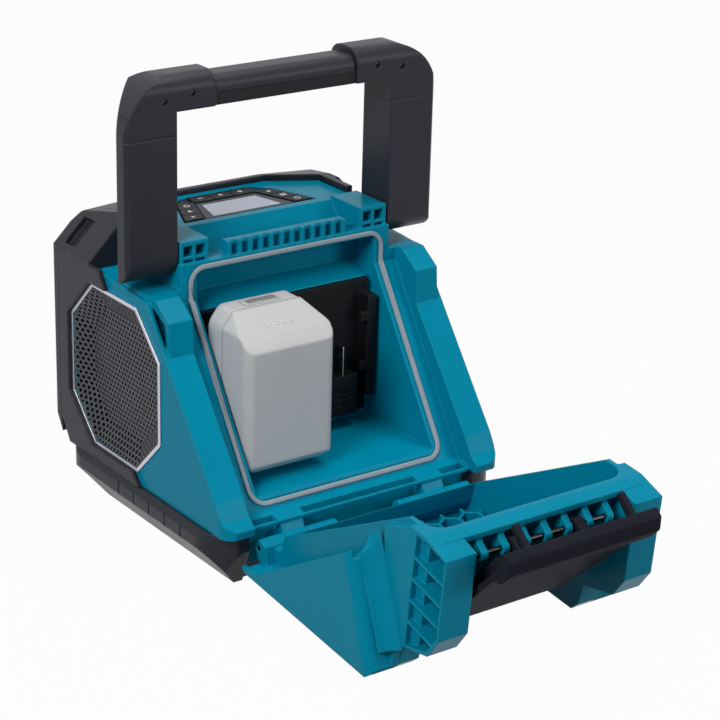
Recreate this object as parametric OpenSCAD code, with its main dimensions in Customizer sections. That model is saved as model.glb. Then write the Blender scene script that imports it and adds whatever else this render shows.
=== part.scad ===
// Jobsite speaker with a carry handle, a twin battery bay and a latched rear door.
// Millimetres, +Z up. z = 0 is the floor, y = 0 the handle's rear face, x = 0 the middle.
// The battery door faces -Y and the listener's side faces +Y. The door is drawn open.

/* [Body] */
// Width across the two side faces
body_w = 248; // [244:1:254]
// Front face of the cabinet, forward of the handle's rear face
front_y = 120; // [117:0.5:126]
// Height of the base tub
base_h = 41; // [40:0.5:43]
// Height of the shoulders below the handle legs
shoulder_z = 191; // [189:0.5:193]
// Height of the shelf behind the control panel
shelf_z = 210; // [209:0.25:211]
// Height of the control panel
panel_z = 223; // [221:0.5:225]
// Wall of the mouldings
wall = 3.2; // [2.8:0.1:3.6]
// Gap left round pieces that are set into one another
fit = 0.15; // [0.1:0.05:0.3]

/* [Base] */
// How far the tub stands out past the cabinet's sides
base_lip = 6; // [4.5:0.5:7]
// How far the tub's sides draw in down to the floor
base_taper = 22; // [16:1:26]
// Corner radius of the tub in plan
base_r = 28; // [20:1:34]
// Rubber foot diameter
foot_d = 20; // [14:1:24]

/* [Battery bay] */
// Inner width of the bay
bay_w = 160; // [156:1:164]
// Height of the bay floor
bay_floor = 55; // [54:0.5:57]
// Back wall of the bay, forward of the handle's rear face
bay_back = 2; // [1:0.5:4]
// Lower edge of the recess over the terminals
recess_z = 171; // [168:0.5:174]
// Depth of that recess behind the terminals' wall
recess_d = 22; // [18:1:24]
// Lean of the gasket's seat, degrees from upright
seat_lean = 33; // [32:0.25:34]
// Length of the leaning part of the seat
seat_len = 160; // [158:0.5:162]
// Height where the seat turns upright
kink_z = 181; // [180:0.25:182]
// Gasket width
gasket_w = 3.6; // [3:0.2:4.2]
// How far the gasket stands out of its seat
gasket_h = 1.8; // [1.2:0.1:2.2]

/* [Battery] */
// Sideways distance of each terminal from the middle
term_x = 39; // [38:0.5:40]
// Battery width
batt_w = 77; // [70:0.5:77]
// Battery length, upright in the bay
batt_l = 117; // [108:1:118]
// Battery depth behind the terminal's rails
batt_d = 53; // [46:1:54]
// Slide travel of the battery up its rails
batt_travel = 9; // [7:0.5:9.5]
// Width of the battery's sliding tongue
tongue_w = 56; // [50:1:58]

/* [Door] */
// Height of the door's hinge rod
hinge_z = 29; // [28:0.5:30]
// Distance of the hinge rod behind the handle's rear face
hinge_back = 110; // [109.5:0.25:111]
// Diameter of the hinge rod
hinge_d = 4; // [3:0.5:5]
// Angle from closed to resting open on the floor
door_open = 96; // [94:0.5:98]
// Width across the door's wings
door_w = 221; // [216:1:224]
// Width across the tray
tray_w = 173; // [171:0.5:175]
// Height of the wings' top corner with the door closed
wing_top = 187; // [185:0.5:189]
// Height of the end blocks with the door closed
block_top = 231; // [228:0.5:233]
// Radius of the edge between a wing and its end
wing_r = 8; // [5:0.5:9]
// Across flats of the honeycomb cells in the tray
cell = 17; // [14:1:22]

/* [Latch] */
// Diameter of the steel latch rod
latch_d = 4; // [3:0.5:5]
// Width of the latch lever
lever_w = 130; // [120:1:132]
// Swing from released to hooked over the catch
latch_swing = 38; // [36:0.5:40]
// Number of fingers that carry the rod
fingers = 7; // [5:2:9]
// Spacing of those fingers
finger_pitch = 18; // [16:0.5:18.5]

/* [Handle] */
// Clear width between the legs
grip_gap = 188; // [186:0.5:194]
// Width of a leg
leg_w = 42; // [38:0.5:43]
// Depth of a leg at its inner side
leg_d = 35; // [32:0.5:36]
// Height of the pivot
pivot_z = 216; // [215.5:0.25:217]
// Pivot pin diameter
pivot_d = 8; // [6:0.5:10]
// Height of the seam between leg and corner
seam_z = 306; // [290:1:310]
// Top of the handle
handle_top = 349; // [346:0.5:356]
// Height of the clear opening
gap_top = 323.5; // [320:0.5:326]
// Length of the grip between its corners
grip_l = 124; // [100:1:130]

/* [Speakers] */
// Across flats of the side bezel
side_oct = 130; // [124:1:131]
// Side bezel centre, forward of the handle's rear face
side_y = 39; // [37:0.5:40]
// Side bezel centre height
side_z = 116; // [115:0.5:117]
// Width of the ring round a side grille
ring_w = 2.8; // [2.2:0.2:3.4]
// Width of the front bezel ring
bezel_w = 5; // [4:0.5:6]
// Depth of a grille's dish
dish = 8; // [5:0.5:9]
// Side driver diameter
side_driver_d = 92; // [84:1:96]
// Front driver diameter
front_driver_d = 120; // [112:1:121]

/* [Keys] */
// How far a key stands out of the panel
key_h = 1.6; // [1.2:0.1:2.4]
// Press travel of a key
key_travel = 0.8; // [0.4:0.1:1]

/* [Hidden] */
$fn = 64;

teal = "#0b7f9b";
black = "#2b2b31";
grey = "#8d9094";
silver = "#c9ccd2";
pale = "#b9bbbc";
steel = "#b5b8bd";
green = "#1e5a3a";

hw = body_w / 2;
split_y = front_y - 16;
flank_y = front_y - 4;
rail_x = 93;
crown_x = 51;
crown_in = 84;
frame_t = 4;
crown_y = split_y + 5;
shell_y = 42;
rim_z = panel_z + 5;
base_x = hw + base_lip;
base_front = front_y + 4;
base_rear = 107;
tub_floor = 6;
tub_x = hw - 18;
tub_rear = 90;
tub_front = front_y - 42;
notch_x = 100.5;
foot_lift = 0;

// Gasket seat: an upright strip at the top, and a leaning plane below the kink
seat_y = -3;
seat_ang = 90 - seat_lean;
low_y = seat_y - seat_len * sin(seat_lean);
low_z = kink_z - seat_len * cos(seat_lean);
seat_top = shelf_z - 2;
bay_x = bay_w / 2;
tub_wall = 3;
gasket_in = bay_x + tub_wall + 0.5;
gasket_out = gasket_in + gasket_w;
center_x = 93;

// Ramps beside the channel, and the lugs over them
ramp_in = 100;
lug_out = 120;
ramp_top = [-32, 153];
ramp_low = [-98, 66];
toe = [-114, 47];
rear_r = 12;

// Hinge of the door and its knuckles
hinge_y = -hinge_back;
knuckle_r = 6;
knuckle = [54, 73];
run = 0.06;
back_off = (hinge_z - (wing_top - hinge_z) * sin(door_open - 90)) / cos(door_open - 90);
door_back = hinge_y - back_off;
door_wall = 3.5;
door_gap = 3;
door_x = door_w / 2;
tray_x = tray_w / 2;
block_x = tray_x + 6;
rim_dy = -door_gap * cos(seat_lean);
rim_dz = door_gap * sin(seat_lean);
rim_low = [low_y + rim_dy, low_z + rim_dz];
rim_y = seat_y - door_gap;
rim_kink_z = rim_low[1] + (rim_y - rim_low[0]) / tan(seat_lean);
wing_t = [-42, 152];
scoop_z = 130;
roof_y = -48;
roof_z = shelf_z - 6;
foot_in = lever_w / 2 + 5;
shelf_low = [wing_t[0] - 6, wing_t[1] + 5.5];
shelf_high = [door_back + 6, wing_top + 1.5];
shelf_a = atan2(wing_top + 1.5 - wing_t[1], wing_t[0] - door_back - 6);

// Latch pocket, rod and lever, placed with the door closed
pocket_x = lever_w / 2 + 3;
rod_y = -22.6;
rod_z = shelf_z + 9.8;
finger_w = 5;
finger_r = latch_d / 2 + 2.5;

// Handle pivot and leg section
pivot_y = leg_d / 2;
leg_in = grip_gap / 2;
leg_out = leg_in + leg_w;
block_in = 67.6;
block_out = leg_in - 2;
corner_r = 42;
grip_x = grip_l / 2;
grip_top = handle_top - 4.5;
grip_rear = 2;
grip_front = leg_d - 3;

// The grip's underside and the seams go with the handle's top, and are given for this one
handle_ref = 349;
handle_rise = handle_top - handle_ref;
bar_low = gap_top + handle_rise;
seam = seam_z + handle_rise;
insert_top = bar_low + 9;

// Terminal and battery slide
term_w = 72;
rail_in = tongue_w / 2 - 6;
rail_y = bay_back - 16;
lip = 3.5;
slide = 0.4;
plug_top = 98;
lip_h = batt_travel - 2;
lip_rows = [plug_top + 2, plug_top + 42];
batt_y = rail_y - 1.3;
batt_z = 63;
batt_top = batt_z + batt_l;
batt_rear = batt_y - batt_d;
batt_seam = batt_y - 18;
button_w = 30;

// Control panel outline, front keys and side keys
pad_rear = shell_y + 4;
pad_front = split_y - 5;
pad_x = 60;
pad_fx = 44;
pad_drop = 1.2;
pad_z = panel_z - pad_drop;
lcd_rear = pad_rear + 2;
lcd_front = pad_front - 16;
key_gap = 0.5;
plate_t = 4;
key_well = pad_z - plate_t + 0.1;
key_low = key_well + key_travel + 0.5;

// Drivers and the front bezel
driver_z = 126;
side_depth = 26;
front_depth = 40;
front_w = body_w - 36;
front_h = front_driver_d + 12;

// Places a side outline, given as y and z, between two x positions
module ext_x(x0, x1) {
    translate([x0, 0, 0]) rotate([90, 0, 90]) linear_extrude(height = x1 - x0) children();
}

// Places a front outline, given as x and z, between two y positions
module ext_y(y0, y1) {
    translate([0, y1, 0]) rotate([90, 0, 0]) linear_extrude(height = y1 - y0) children();
}

module pair() {
    children();
    mirror([1, 0, 0]) children();
}

module side(s) {
    mirror([s > 0 ? 0 : 1, 0, 0]) children();
}

module box(a, b) {
    translate(a) cube([b[0] - a[0], b[1] - a[1], b[2] - a[2]]);
}

// Octagon w wide and h tall, with its corners cut by c
module oct(w, h, c) {
    x = w / 2;
    y = h / 2;
    polygon([[x, y - c], [x - c, y], [c - x, y], [-x, y - c],
        [-x, c - y], [c - x, -y], [x - c, -y], [x, c - y]]);
}

module round_rect(x, y0, y1, r) {
    union() {
        translate([-x, y0 + r]) square([2 * x, y1 - y0 - 2 * r]);
        translate([r - x, y0]) square([2 * (x - r), y1 - y0]);
        for (i = [-1, 1], j = [y0 + r, y1 - r]) translate([i * (x - r), j]) circle(r);
    }
}

// Moves to the door's open place
module opened() {
    translate([0, hinge_y, hinge_z]) rotate([door_open, 0, 0]) translate([0, -hinge_y, -hinge_z])
        children();
}

// Bar along X through a point of a side view
module bar(x0, x1, y, z, r) {
    translate([x0, y, z]) rotate([0, 90, 0]) cylinder(h = x1 - x0, r = r);
}

// Cabinet outlines

module ramp_line(lug) {
    polygon(concat([[split_y, base_h], [toe[0] + 1, base_h], toe, [-106, 53], ramp_low, ramp_top],
        lug ? [[-30, 179], [-12, shoulder_z]] : [[-6, shoulder_z - 3]],
        [[shell_y - 2, shoulder_z], [split_y, shoulder_z]]));
}

module center_low() {
    polygon([[split_y, base_h], [-106, base_h], [-106, base_h + 2.5], [low_y, low_z],
        [seat_y, kink_z], [seat_y, shoulder_z], [split_y, shoulder_z]]);
}

module center_high() {
    polygon([[split_y, kink_z], [seat_y, kink_z], [seat_y, shelf_z], [shell_y - 14, shelf_z],
        [shell_y - 4, panel_z], [split_y, panel_z]]);
}

module plan_outline() {
    round_rect(hw, toe[0], front_y + 40, rear_r);
}

module front_outline(grow) {
    polygon([[hw + grow, base_h], [hw + grow, shoulder_z + 2 + grow], [rail_x + grow, rim_z - 4 + grow],
        [-rail_x - grow, rim_z - 4 + grow], [-hw - grow, shoulder_z + 2 + grow], [-hw - grow, base_h]]);
}

// Side outline of the front, with its top edge sloped back
module nose(grow) {
    top = rim_z - 4 + grow;
    polygon([[-200, base_h], [-200, top], [crown_y, top], [front_y - 3 + grow, top - 9],
        [front_y + grow, top - 16], [front_y + grow, base_h + 18], [front_y + grow - 11, base_h]]);
}

// Slanted facets that take off the two upper front corners
module crown_facets(lift) {
    lean = 11.6;
    turn = 61.4;
    pair() translate([crown_x, split_y + 3, rim_z + lift]) rotate([0, 0, turn]) rotate([0, lean, 0])
        translate([-100, -200, 0]) cube([300, 400, 80]);
}

// Corner of the top panel that belongs to the rim
module crown_corner(grow) {
    translate([0, 0, panel_z - 3 - grow]) linear_extrude(height = 20)
        polygon([[crown_x - 2 * grow, split_y + grow], [rail_x - 5 - grow, crown_in - grow],
            [rail_x + 1, crown_in - grow], [rail_x + 1, split_y + grow]]);
}

module bay_outline(t) {
    polygon([[-130, bay_floor - t], [bay_back + t, bay_floor - t],
        [bay_back + t, recess_z - t], [bay_back + recess_d + t, recess_z + 7 - t],
        [bay_back + recess_d + t, seat_top - 5 + t], [-130, seat_top - 5 + t]]);
}

module side_oct_outline(grow) {
    translate([side_y, side_z]) oct(side_oct + 2 * grow, side_oct + 2 * grow, 33 + 0.6 * grow);
}

// Hollow behind the side driver, following the ramp and the channel
module side_hollow() {
    ext_x(ramp_in + wall, hw - wall)
        polygon([[split_y + 1, base_h + wall], [-88, base_h + wall], [-88, 72], [-27, 153],
            [-25, 176], [-9, shoulder_z - 7], [shell_y, shoulder_z - wall],
            [split_y + 1, shoulder_z - wall]]);
    ext_x(bay_x + tub_wall + wall, ramp_in + wall + 1)
        polygon([[split_y + 1, base_h + wall], [-70, base_h + wall], [-70, 64],
            [seat_y + 5, kink_z - 8], [seat_y + 5, shoulder_z - wall],
            [split_y + 1, shoulder_z - wall]]);
}

module comb() {
    ribs = 12;
    comb_x = 52.6;
    rib_w = 3;
    pitch = (2 * comb_x - rib_w) / (ribs - 1);
    box([-comb_x, 2.5, shelf_z - 1], [comb_x, 6, shelf_z + 11]);
    box([-comb_x, 0, shelf_z + 8], [comb_x, 3, shelf_z + 11]);
    for (i = [0 : ribs - 1])
        box([i * pitch - comb_x, -2.5, shelf_z - 1], [i * pitch - comb_x + rib_w, 3, shelf_z + 11]);
}

// Moulded lugs that hold the handle's pivot pins, cored out by four windows at the rear
module hinge_blocks() {
    win = 8;
    pitch = 10.4;
    top = pivot_z + 10;
    pair() difference() {
        box([block_in, 0, shelf_z - 4], [block_out, shell_y - 3, top]);
        for (i = [0, 1], j = [0, 1])
            translate([block_in + 3 + i * pitch, -1, top - 11.5 - j * pitch])
                cube([win, 13, win]);
        bar(block_in + 8, block_out + 1, pivot_y, pivot_z, pivot_d / 2 + run);
    }
}

module hinge_knuckles() {
    pair() difference() {
        union() {
            bar(knuckle[0], knuckle[1], hinge_y, hinge_z, knuckle_r);
            ext_x(knuckle[0], knuckle[1])
                polygon([[hinge_y - 2, hinge_z], [hinge_y + 5, hinge_z - 3], [-96, hinge_z - 3],
                    [-94.3, base_h + 1], [-105, base_h + 1]]);
        }
        bar(knuckle[0] - 1, knuckle[1] + 1, hinge_y, hinge_z, hinge_d / 2 + run);
    }
}

module rear_housing() {
    color(teal) difference() {
        union() {
            intersection() {
                union() {
                    ext_x(-ramp_in, ramp_in) center_low();
                    pair() ext_x(ramp_in, lug_out) ramp_line(true);
                    pair() ext_x(lug_out, hw) ramp_line(false);
                    pair() ext_x(center_x, ramp_in) ramp_line_inner();
                }
                linear_extrude(height = rim_z) plan_outline();
                ext_y(-150, 150) front_outline(0);
            }
            ext_x(-center_x, center_x) center_high();
            hinge_blocks();
            comb();
            hinge_knuckles();
            box([-notch_x + 1, -97.4, tub_floor + 6], [notch_x - 1, -94.2, base_h + 1]);
        }
        difference() {
            pair() side_hollow();
            pair() ext_x(hw - dish - 14, hw) side_oct_outline(1);
        }
        ext_x(-bay_x - tub_wall - fit, bay_x + tub_wall + fit) bay_outline(tub_wall + fit);
        center_hollow();
        pair() ext_x(hw - dish - 9, hw + 1) side_oct_outline(-ring_w);
        pair() bar(hw - dish - 20, hw, side_y, side_z, side_driver_d / 2 - 8);
        ledge_slots();
        pair() crown_corner(0.1);
        translate([0, 0, panel_z - 10]) linear_extrude(height = 30) pad_outline(fit);
        translate([0, 0, panel_z - 30]) linear_extrude(height = 30) pad_outline(-6);
    }
}

// Sides of the channel above the kink, below the handle legs
module ramp_line_inner() {
    polygon([[split_y, base_h], [0, base_h], [0, shoulder_z], [split_y, shoulder_z]]);
}

module center_hollow() {
    ext_x(-bay_x - tub_wall - wall, bay_x + tub_wall + wall)
        polygon([[split_y + 1, base_h + wall], [bay_back + 1, base_h + wall],
            [bay_back + 1, recess_z - 8], [bay_back + recess_d + 1, recess_z],
            [bay_back + recess_d + 1, shelf_z - wall - 4], [shell_y, shelf_z - wall],
            [shell_y + 4, panel_z - 14], [split_y + 1, panel_z - 14]]);
}

module ledge_slots() {
    slot_y0 = -104;
    slot_y1 = -97.4;
    box([-51.6, slot_y0, base_h - 8], [51.6, slot_y1, base_h + 10]);
    pair() box([75, slot_y0, base_h - 8], [97, slot_y1, base_h + 10]);
}

module battery_bay() {
    post = 5;
    board_y = bay_back + recess_d + 8;
    color(teal) difference() {
        union() {
            intersection() {
                ext_x(-bay_x - tub_wall, bay_x + tub_wall) bay_outline(tub_wall);
                ext_x(-hw, hw) polygon([[split_y, 0], [low_y, low_z], [seat_y, kink_z],
                    [seat_y, shelf_z], [split_y, shelf_z]]);
            }
            pair() for (z = [80, 150])
                translate([50, bay_back + 1, z]) rotate([-90, 0, 0])
                    cylinder(h = board_y - bay_back - 1, d = post);
        }
        ext_x(-bay_x, bay_x) bay_outline(0);
    }
}

module front_housing() {
    color(teal) difference() {
        intersection() {
            ext_y(split_y, front_y) front_outline(-0.5);
            ext_x(-hw, hw) nose(-0.5);
        }
        crown_facets(-3);
        difference() {
            intersection() {
                ext_y(split_y + 4, front_y + 1) front_outline(-wall - 0.5);
                ext_x(-hw, hw) nose(-wall);
            }
            crown_facets(-3 - wall);
        }
        ext_y(front_y - 10, front_y + 1) front_oct(fit);
        translate([0, split_y - 1, driver_z]) rotate([-90, 0, 0])
            cylinder(h = 10, d = front_driver_d - 16);
    }
}

module base_tub() {
    grooves = [-62, -40, -18, 4, 26];
    front_top = base_front - 11;
    color(black) difference() {
        intersection() {
            linear_extrude(height = base_h) round_rect(base_x, -base_rear, front_top, base_r);
            ext_y(-150, 150) polygon([[base_taper - base_x, foot_lift], [base_x - base_taper, foot_lift],
                [base_x, base_h - 14], [base_x, base_h - 5], [base_x - 4, base_h], [4 - base_x, base_h],
                [-base_x, base_h - 5], [-base_x, base_h - 14]]);
            ext_x(-200, 200) polygon([[9 - base_rear, foot_lift], [-base_rear, base_h - 14],
                [-base_rear, base_h], [front_top, base_h], [front_top - 24, 18],
                [front_top - 32, foot_lift]]);
        }
        box([-tub_x, -tub_rear, tub_floor], [tub_x, tub_front, base_h + 1]);
        box([-notch_x, -150, -1], [notch_x, -94, base_h + 1]);
        pair() for (y = grooves)
            box([base_x - 1.4, y, -1], [base_x + 1, y + 1.6, base_h + 1]);
        foot_places() cylinder(h = 3, d = foot_d + 2 * fit);
    }
}

module foot_places() {
    foot_x = base_x - base_taper - 14;
    for (i = [-1, 1], y = [-78, 62]) translate([i * foot_x, y, 0]) children();
}

module feet() {
    color(black) foot_places() cylinder(h = 3, d = foot_d);
}

module front_rim() {
    rim_w = 12;
    color(black) difference() {
        intersection() {
            ext_y(split_y, base_front) front_outline(frame_t);
            ext_x(-200, 200) nose(frame_t);
            box([-200, 0, base_h + 0.02], [200, 200, 300]);
        }
        difference() {
            intersection() {
                ext_y(split_y - 1, front_y + 0.02) front_outline(-0.45);
                ext_x(-200, 200) nose(-0.45);
            }
            crown_facets(-2.95);
        }
        crown_facets(0);
        slant_pocket();
        ext_y(front_y - 2, base_front + 2) front_outline(-rim_w);
        ext_y(split_y - 1, base_front + 2) front_oct(fit);
        box([rim_w - hw, front_y - 2, 0], [hw - rim_w, base_front + 2, base_h + 10]);
        pair() box([hw - 0.5, split_y - 1, base_h - 1], [hw + 20, flank_y + 0.1, shoulder_z + 4.1]);
    }
    color(black) pair() difference() {
        union() {
            box([rail_x - 5, shell_y + 4, panel_z + 0.02], [rail_x, split_y - 0.1, rim_z]);
            intersection() {
                crown_corner(0);
                box([0, 0, 0], [rail_x, split_y - 0.02, rim_z]);
            }
            intersection() {
                crown_corner(0);
                box([0, split_y - 1, panel_z + 0.6], [rail_x, split_y + 2, rim_z]);
            }
        }
        crown_facets(0);
    }
}

module side_frame_outline() {
    polygon([[48, 181], [58, shoulder_z + 4], [flank_y, shoulder_z + 4], [flank_y, base_h + 18],
        [flank_y - 11, base_h + 0.02], [2, base_h + 0.02], [16, 54], [side_y, 60], [side_y, 172]]);
}

module side_frame() {
    block_y = 70;
    color(black) difference() {
        union() {
            ext_x(hw + 0.02, hw + frame_t) side_frame_outline();
            intersection() {
                ext_y(block_y, split_y - 0.1) front_outline(frame_t);
                box([rail_x + 0.4, 0, shoulder_z + 0.02], [200, 200, 300]);
            }
        }
        crown_facets(0);
        ext_x(hw - 1, hw + 10) side_oct_outline(0.4);
        slant_pocket();
    }
}

// Pocket in the slanted shoulder, shared by the rim and the side frame
module slant_pocket() {
    low = [hw + 0.5, shoulder_z + 9.5];
    high = [rail_x + 14, rim_z - 10];
    deep = 3.4;
    out = 6;
    pair() ext_y(96, front_y - 7)
        polygon([[low[0] + out, low[1] + out], [high[0] + out, high[1] + out],
            [high[0] - deep, high[1] - deep], [low[0] - deep, low[1] - deep]]);
}

module side_frame_left() side(-1) side_frame();
module side_frame_right() side(1) side_frame();

module side_bezel() {
    color(silver) ext_x(hw + 0.05, hw + 1.5) difference() {
        side_oct_outline(0);
        side_oct_outline(-ring_w);
    }
}

module side_bezel_left() side(-1) side_bezel();
module side_bezel_right() side(1) side_bezel();

// Dished plate: a rim, sloping walls and a flat floor
module side_dish(t) {
    slope_w = 17;
    rise = 0.9;
    hull() {
        ext_x(hw + rise - 0.1 - t, hw + rise - t) side_oct_outline(-0.03 - ring_w);
        ext_x(hw - dish - t, hw - dish + 0.1 - t) side_oct_outline(-slope_w - ring_w);
    }
}

module side_grille() {
    color(grey) difference() {
        side_dish(1.2);
        side_dish(0);
    }
}

module side_grille_left() side(-1) side_grille();
module side_grille_right() side(1) side_grille();

module front_oct(grow) {
    translate([0, driver_z]) oct(front_w + 2 * grow, front_h + 2 * grow, 40 + 0.6 * grow);
}

module front_bezel() {
    color(silver) difference() {
        ext_y(split_y + 4, front_y - 0.5) front_oct(0);
        ext_y(split_y + 3, front_y + 1) front_oct(-bezel_w);
    }
}

module front_dish(t) {
    hull() {
        ext_y(front_y - 1.6 - t, front_y - 1.5 - t) front_oct(-bezel_w - 0.03);
        ext_y(front_y - 1.5 - dish * 0.4 - t, front_y - 1.4 - dish * 0.4 - t) front_oct(-bezel_w - 14);
    }
}

module front_grille() {
    color(grey) difference() {
        front_dish(1.2);
        front_dish(0);
    }
}

// Driver parts about their own axis, z forward, flange face at z = 0
module driver_frame(d, depth) {
    r = d / 2;
    rotate_extrude() polygon([[r, 0], [r, 2.6], [r - 7, 2.6], [r - 7, 0.9], [r - 11, 0.9],
        [0.24 * d, -depth + 3], [0.1 * d, -depth + 3], [0.1 * d, -depth], [0.26 * d, -depth],
        [r - 9, -2.4], [r - 9, 0]]);
}

module driver_cone(d, depth) {
    r = d / 2 - 7.3;
    rotate_extrude() polygon([[r, 0.9], [r, 2.6], [r - 3, 4], [r - 7, 2.4], [0.13 * d, -depth + 14],
        [0, -depth + 19], [0, -depth + 17.4], [0.12 * d, -depth + 12], [r - 8, 0.9]]);
}

module driver_magnet(d, depth) {
    translate([0, 0, -depth - 14]) cylinder(h = 14 - 0.05, d = 0.5 * d);
}

module at_side() {
    translate([hw - dish - 9, side_y, side_z]) rotate([0, 90, 0]) children();
}

module at_front() {
    translate([0, split_y + 4, driver_z]) rotate([-90, 0, 0]) children();
}

module side_driver_frame() color(black) at_side() driver_frame(side_driver_d, side_depth);
module side_driver_frame_left() side(-1) side_driver_frame();
module side_driver_frame_right() side(1) side_driver_frame();
module side_cone() color(black) at_side() driver_cone(side_driver_d, side_depth);
module side_cone_left() side(-1) side_cone();
module side_cone_right() side(1) side_cone();
module side_magnet() color(steel) at_side() driver_magnet(side_driver_d, side_depth);
module side_magnet_left() side(-1) side_magnet();
module side_magnet_right() side(1) side_magnet();
module front_driver_frame() color(black) at_front() driver_frame(front_driver_d, front_depth);
module front_cone() color(black) at_front() driver_cone(front_driver_d, front_depth);
module front_magnet() color(steel) at_front() driver_magnet(front_driver_d, front_depth);

module screw_heads(d) {
    for (a = [45 : 90 : 315]) rotate(a) translate([d / 2 - 3.5, 0, 2.6]) {
        cylinder(h = 2, d = 5.6);
    }
}

module driver_screws() {
    color(steel) {
        pair() at_side() screw_heads(side_driver_d);
        at_front() screw_heads(front_driver_d);
    }
}

module main_board() {
    board_y = bay_back + recess_d + 8;
    color(green) union() {
        box([-64, board_y, 70], [64, board_y + 1.6, 160]);
        box([-30, board_y + 1.6, 84], [30, board_y + 8, 112]);
        box([-52, board_y + 1.6, 126], [-22, board_y + 12, 150]);
        box([20, board_y + 1.6, 122], [56, board_y + 5, 152]);
    }
}

// Control panel

module pad_outline(grow) {
    polygon([[pad_x + grow, pad_rear - grow], [pad_fx + grow, pad_front - 14],
        [pad_fx - 12 + grow, pad_front + grow], [12 - pad_fx - grow, pad_front + grow],
        [-pad_fx - grow, pad_front - 14], [-pad_x - grow, pad_rear - grow]]);
}

module lcd_outline(inset) {
    polygon([[40 - inset, lcd_rear + inset], [27 - inset, lcd_front - inset],
        [inset - 27, lcd_front - inset], [inset - 40, lcd_rear + inset]]);
}

// A key's outline in plan: three along the front edge and three down each side
module front_key(i) {
    w = 18;
    polygon([[i * w - w / 2 + key_gap, lcd_front + 1.2], [i * w + w / 2 - key_gap, lcd_front + 1.2],
        [i * w + w / 2 - key_gap, pad_front - 1.5], [i * w - w / 2 + key_gap, pad_front - 1.5]]);
}

module side_key(i) {
    y0 = lcd_rear + i * 12.6 + key_gap;
    y1 = lcd_rear + (i + 1) * 12.6 - key_gap;
    lean_in = (40 - 27) / (lcd_front - lcd_rear);
    lean_out = (pad_x - pad_fx) / (pad_front - 14 - pad_rear);
    polygon([[41.4 - (y0 - lcd_rear) * lean_in, y0], [pad_x - 1.6 - (y0 - pad_rear) * lean_out, y0],
        [pad_x - 1.6 - (y1 - pad_rear) * lean_out, y1], [41.4 - (y1 - lcd_rear) * lean_in, y1]]);
}

module control_panel() {
    plate_z = pad_z - plate_t - 1.2;
    color(black) difference() {
        translate([0, 0, panel_z - 10]) linear_extrude(height = 10 - pad_drop) pad_outline(0);
        translate([0, 0, panel_z - 11]) linear_extrude(height = plate_z - panel_z + 11) pad_outline(-4);
        translate([0, 0, pad_z - 1.2]) linear_extrude(height = 5) lcd_outline(-fit);
        translate([0, 0, key_well]) linear_extrude(height = 30) key_openings();
    }
}

module key_openings() {
    grown() {
        for (i = [-1 : 1]) front_key(i);
        for (i = [0 : 2]) {
            side_key(i);
            mirror([1, 0]) side_key(i);
        }
    }
}

// Keeps a sliding gap round each key by moving its outline four ways
module grown() {
    gap = 0.3;
    for (i = [-gap, gap], j = [-gap, gap]) translate([i, j]) children();
}

module display_bezel() {
    color(grey) difference() {
        translate([0, 0, pad_z - 1.2]) linear_extrude(height = 2) lcd_outline(0);
        translate([0, 0, pad_z - 0.6]) linear_extrude(height = 4) screen_outline(fit);
    }
}

module screen_outline(grow) {
    polygon([[31 + grow, lcd_rear + 3 - grow], [24 + grow, lcd_front - 4 + grow],
        [-24 - grow, lcd_front - 4 + grow], [-31 - grow, lcd_rear + 3 - grow]]);
}

module display_window() {
    color(silver) translate([0, 0, pad_z - 0.6]) linear_extrude(height = 1.2) screen_outline(0);
}

module key_cap() {
    color(black) translate([0, 0, key_low])
        linear_extrude(height = pad_z + key_h - key_low) children();
}

module key_front_left() key_cap() front_key(-1);
module key_front_mid() key_cap() front_key(0);
module key_front_right() key_cap() front_key(1);
module key_right_a() key_cap() side_key(0);
module key_right_b() key_cap() side_key(1);
module key_right_c() key_cap() side_key(2);
module key_left_a() key_cap() mirror([1, 0]) side_key(0);
module key_left_b() key_cap() mirror([1, 0]) side_key(1);
module key_left_c() key_cap() mirror([1, 0]) side_key(2);

// Handle

module leg_section(grow) {
    outer = leg_out + grow;
    polygon([[leg_in, 0], [outer - 3, 0], [outer, 3], [outer, 13], [leg_in + 18, leg_d],
        [leg_in, leg_d]]);
}

module handle_leg() {
    color(black) difference() {
        intersection() {
            translate([0, 0, pivot_z - leg_d]) linear_extrude(height = seam - pivot_z + leg_d)
                leg_section(0);
            union() {
                bar(leg_in - 1, leg_out + 1, pivot_y, pivot_z, leg_d / 2);
                box([leg_in - 1, -1, pivot_z], [leg_out + 1, leg_d + 1, seam]);
            }
        }
        bar(leg_in - 1, leg_in + 24, pivot_y, pivot_z, pivot_d / 2 + run);
    }
}

module handle_leg_left() side(-1) handle_leg();
module handle_leg_right() side(1) handle_leg();

// Outline of a corner seen from the rear, with a large round outer corner
module corner_outline() {
    difference() {
        union() {
            translate([grip_x, bar_low]) square([leg_out - corner_r - grip_x, handle_top - bar_low]);
            translate([leg_in, seam]) square([leg_w, handle_top - corner_r - seam]);
            translate([leg_out - corner_r, handle_top - corner_r]) circle(corner_r);
        }
        translate([grip_x - 1, seam - 60]) square([leg_in - grip_x + 1, bar_low - seam + 60]);
        translate([0, seam - 100]) square([300, 100]);
    }
}

// Side outline of the bar across the top, rounded along its upper edges
module bar_section(y0, y1, top, r) {
    union() {
        translate([y0, bar_low - 100]) square([y1 - y0, top - r - bar_low + 100]);
        translate([y0 + r, bar_low - 100]) square([y1 - y0 - 2 * r, top - bar_low + 100]);
        for (y = [y0 + r, y1 - r]) translate([y, top - r]) circle(r);
    }
}

module handle_corner() {
    color(black) difference() {
        intersection() {
            ext_y(0, leg_d) corner_outline();
            union() {
                linear_extrude(height = handle_top) leg_section(0);
                box([grip_x, 0, bar_low], [leg_in + 18, leg_d, handle_top]);
            }
            ext_x(0, 200) bar_section(0, leg_d, handle_top, 12);
        }
        screw_places() translate([0, 0, -1]) cylinder(h = 5, d = 4.6);
    }
}

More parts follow.
